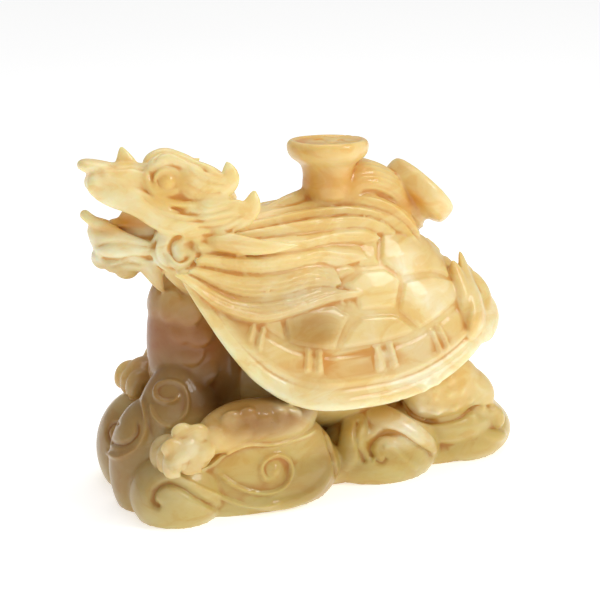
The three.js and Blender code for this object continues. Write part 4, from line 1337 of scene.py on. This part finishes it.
def onyx():
    """Cloudy yellow onyx, polished.

    The colour kept on the mesh, which holds painted shade and painted highlights in some regions, is
    multiplied by a pale or a warm tint where the clouds and the wisps are high or low. It is multiplied by a
    darker and warmer tint in the hollows, which is painted shade, and by a paler one on the ridges, which is
    a painted highlight. The roughness is a sum of shares of the clouds, the depth and the specks.
    """
    material, wires, shader = new_material("onyx")
    place = wires.node("ShaderNodeTexCoord", output=3)
    colour = wires.node("ShaderNodeAttribute", {"attribute_name": "stone"})
    depth = wires.node("ShaderNodeAttribute", {"attribute_name": "hollow"}, output=2)
    clouds = place.noise(34, 4, 0.55, distortion=0.6)
    wisps = place.noise(75, 4, 0.55, stretch=(0.8, 1, 1.5), distortion=0.9)
    specks = place.noise(900, 2, 0.6)
    grain = place.noise(2600, 2, 0.5)
    clouded = clouds.between(0.36, 0.66).mixed(colour, (1.0, 0.93, 0.74, 1), "MULTIPLY")
    paled = (wisps.between(0.5, 0.68) * 0.6).mixed(clouded, (1.05, 1.16, 1.5, 1), "MULTIPLY")
    warmed = (wisps.between(0.5, 0.36) * 0.5).mixed(paled, (0.92, 0.74, 0.44, 1), "MULTIPLY")
    # Painted shade: a darker, warmer tint in the hollows
    painted_hollow_shade = (depth.between(0.53, 0.85) * 0.95).mixed(warmed, (0.84, 0.52, 0.2, 1), "MULTIPLY")
    # Painted highlight: a paler tint on the ridges
    painted_ridge_highlight = (depth.between(0.46, 0.1) * 0.4).mixed(painted_hollow_shade, (1.07, 1.2, 1.5, 1), "MULTIPLY")
    speckled = (specks.between(0.6, 0.75) * 0.12).mixed(painted_ridge_highlight, (0.75, 0.62, 0.4, 1), "MULTIPLY")
    join(speckled, shader, "Base Color")
    join((0.27 + 0.14 * clouds + 0.16 * depth + 0.06 * specks).held(0.12, 0.7), shader, "Roughness")
    relief = 0.6 * place.noise(420, 3, 0.5) + 0.25 * specks + 0.15 * grain
    bump = wires.node("ShaderNodeBump", None, {"Strength": 0.22, "Distance": 0.0004, "Height": relief})
    join(bump, shader, "Normal")
    shader.inputs["Subsurface Weight"].default_value = 0.42
    shader.inputs["Subsurface Radius"].default_value = (1.0, 0.5, 0.18)
    shader.inputs["Subsurface Scale"].default_value = 0.006
    shader.inputs["IOR"].default_value = 1.56
    shader.inputs["Specular IOR Level"].default_value = 0.3
    shader.inputs["Coat Weight"].default_value = 0.45
    shader.inputs["Coat Roughness"].default_value = 0.08
    return material


carving = bpy.data.objects.new("onyx_carving", surface)
bpy.context.scene.collection.objects.link(carving)
surface.materials.clear()
surface.materials.append(onyx())
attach(carving, "root")
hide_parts("dragon_turtle")


# Floor, light and camera

def paper():
    """Pale matt card with a faint unevenness."""
    material, wires, shader = new_material("paper")
    place = wires.node("ShaderNodeTexCoord", output=3)
    tone = place.noise(6, 2)
    join(tone.mixed((0.93, 0.93, 0.93, 1), (0.96, 0.96, 0.955, 1)), shader, "Base Color")
    shader.inputs["Roughness"].default_value = 0.9
    shader.inputs["Emission Color"].default_value = (1, 1, 1, 1)
    shader.inputs["Emission Strength"].default_value = 0.5
    return material


# The floor reaches this many metres to each side.
FLOOR_REACH = 6
floor_mesh = bpy.data.meshes.new("floor")
floor_corners = [(x * FLOOR_REACH, y * FLOOR_REACH, 0) for x, y in ((-1, -1), (1, -1), (1, 1), (-1, 1))]
floor_mesh.from_pydata(floor_corners, [], [(0, 1, 2, 3)])
floor_mesh.materials.append(paper())
floor = bpy.data.objects.new("floor", floor_mesh)
bpy.context.scene.collection.objects.link(floor)

world = bpy.data.worlds.new("studio")
world.use_nodes = True
world.node_tree.nodes["Background"].inputs["Color"].default_value = (1, 1, 1, 1)
world.node_tree.nodes["Background"].inputs["Strength"].default_value = 0.42
bpy.context.scene.world = world
bpy.context.scene.view_settings.view_transform = "Standard"


def softbox(name, place, target, width, height, power):
    """A flat rectangular lamp turned to its target, all in millimetres and watts."""
    lamp = bpy.data.lights.new(name, "AREA")
    lamp.shape = "RECTANGLE"
    lamp.size = width / 1000
    lamp.size_y = height / 1000
    lamp.energy = power
    box = bpy.data.objects.new(name, lamp)
    box.location = Vector(place) / 1000
    box.rotation_euler = (Vector(target) - Vector(place)).to_track_quat("-Z", "Y").to_euler()
    bpy.context.scene.collection.objects.link(box)


softbox("window", (380, -420, 520), (0, 0, 60), 240, 300, 1.8)
softbox("ceiling", (40, 120, 700), (0, 0, 60), 500, 400, 1.3)
softbox("front fill", (-300, -620, 260), (0, 0, 70), 400, 300, 0.35)

# The lens is as long as gives the figure its size in the photograph.
PHOTO_PIXELS = 600
PIXELS_TO_A_MILLIMETRE = 2.6
lens = bpy.data.cameras.new("camera")
lens.sensor_width = 36
lens.lens = lens.sensor_width * CAMERA_DISTANCE * PIXELS_TO_A_MILLIMETRE / PHOTO_PIXELS
lens.clip_start = 0.05
lens.clip_end = 20
camera = bpy.data.objects.new("camera", lens)
camera.location = Vector(CAMERA_TARGET - DRAWING_MIDDLE + PICTURE_BACK * CAMERA_DISTANCE) / 1000
camera.rotation_euler = Vector(PICTURE_BACK).to_track_quat("Z", "Y").to_euler()
bpy.context.scene.collection.objects.link(camera)
bpy.context.scene.camera = camera
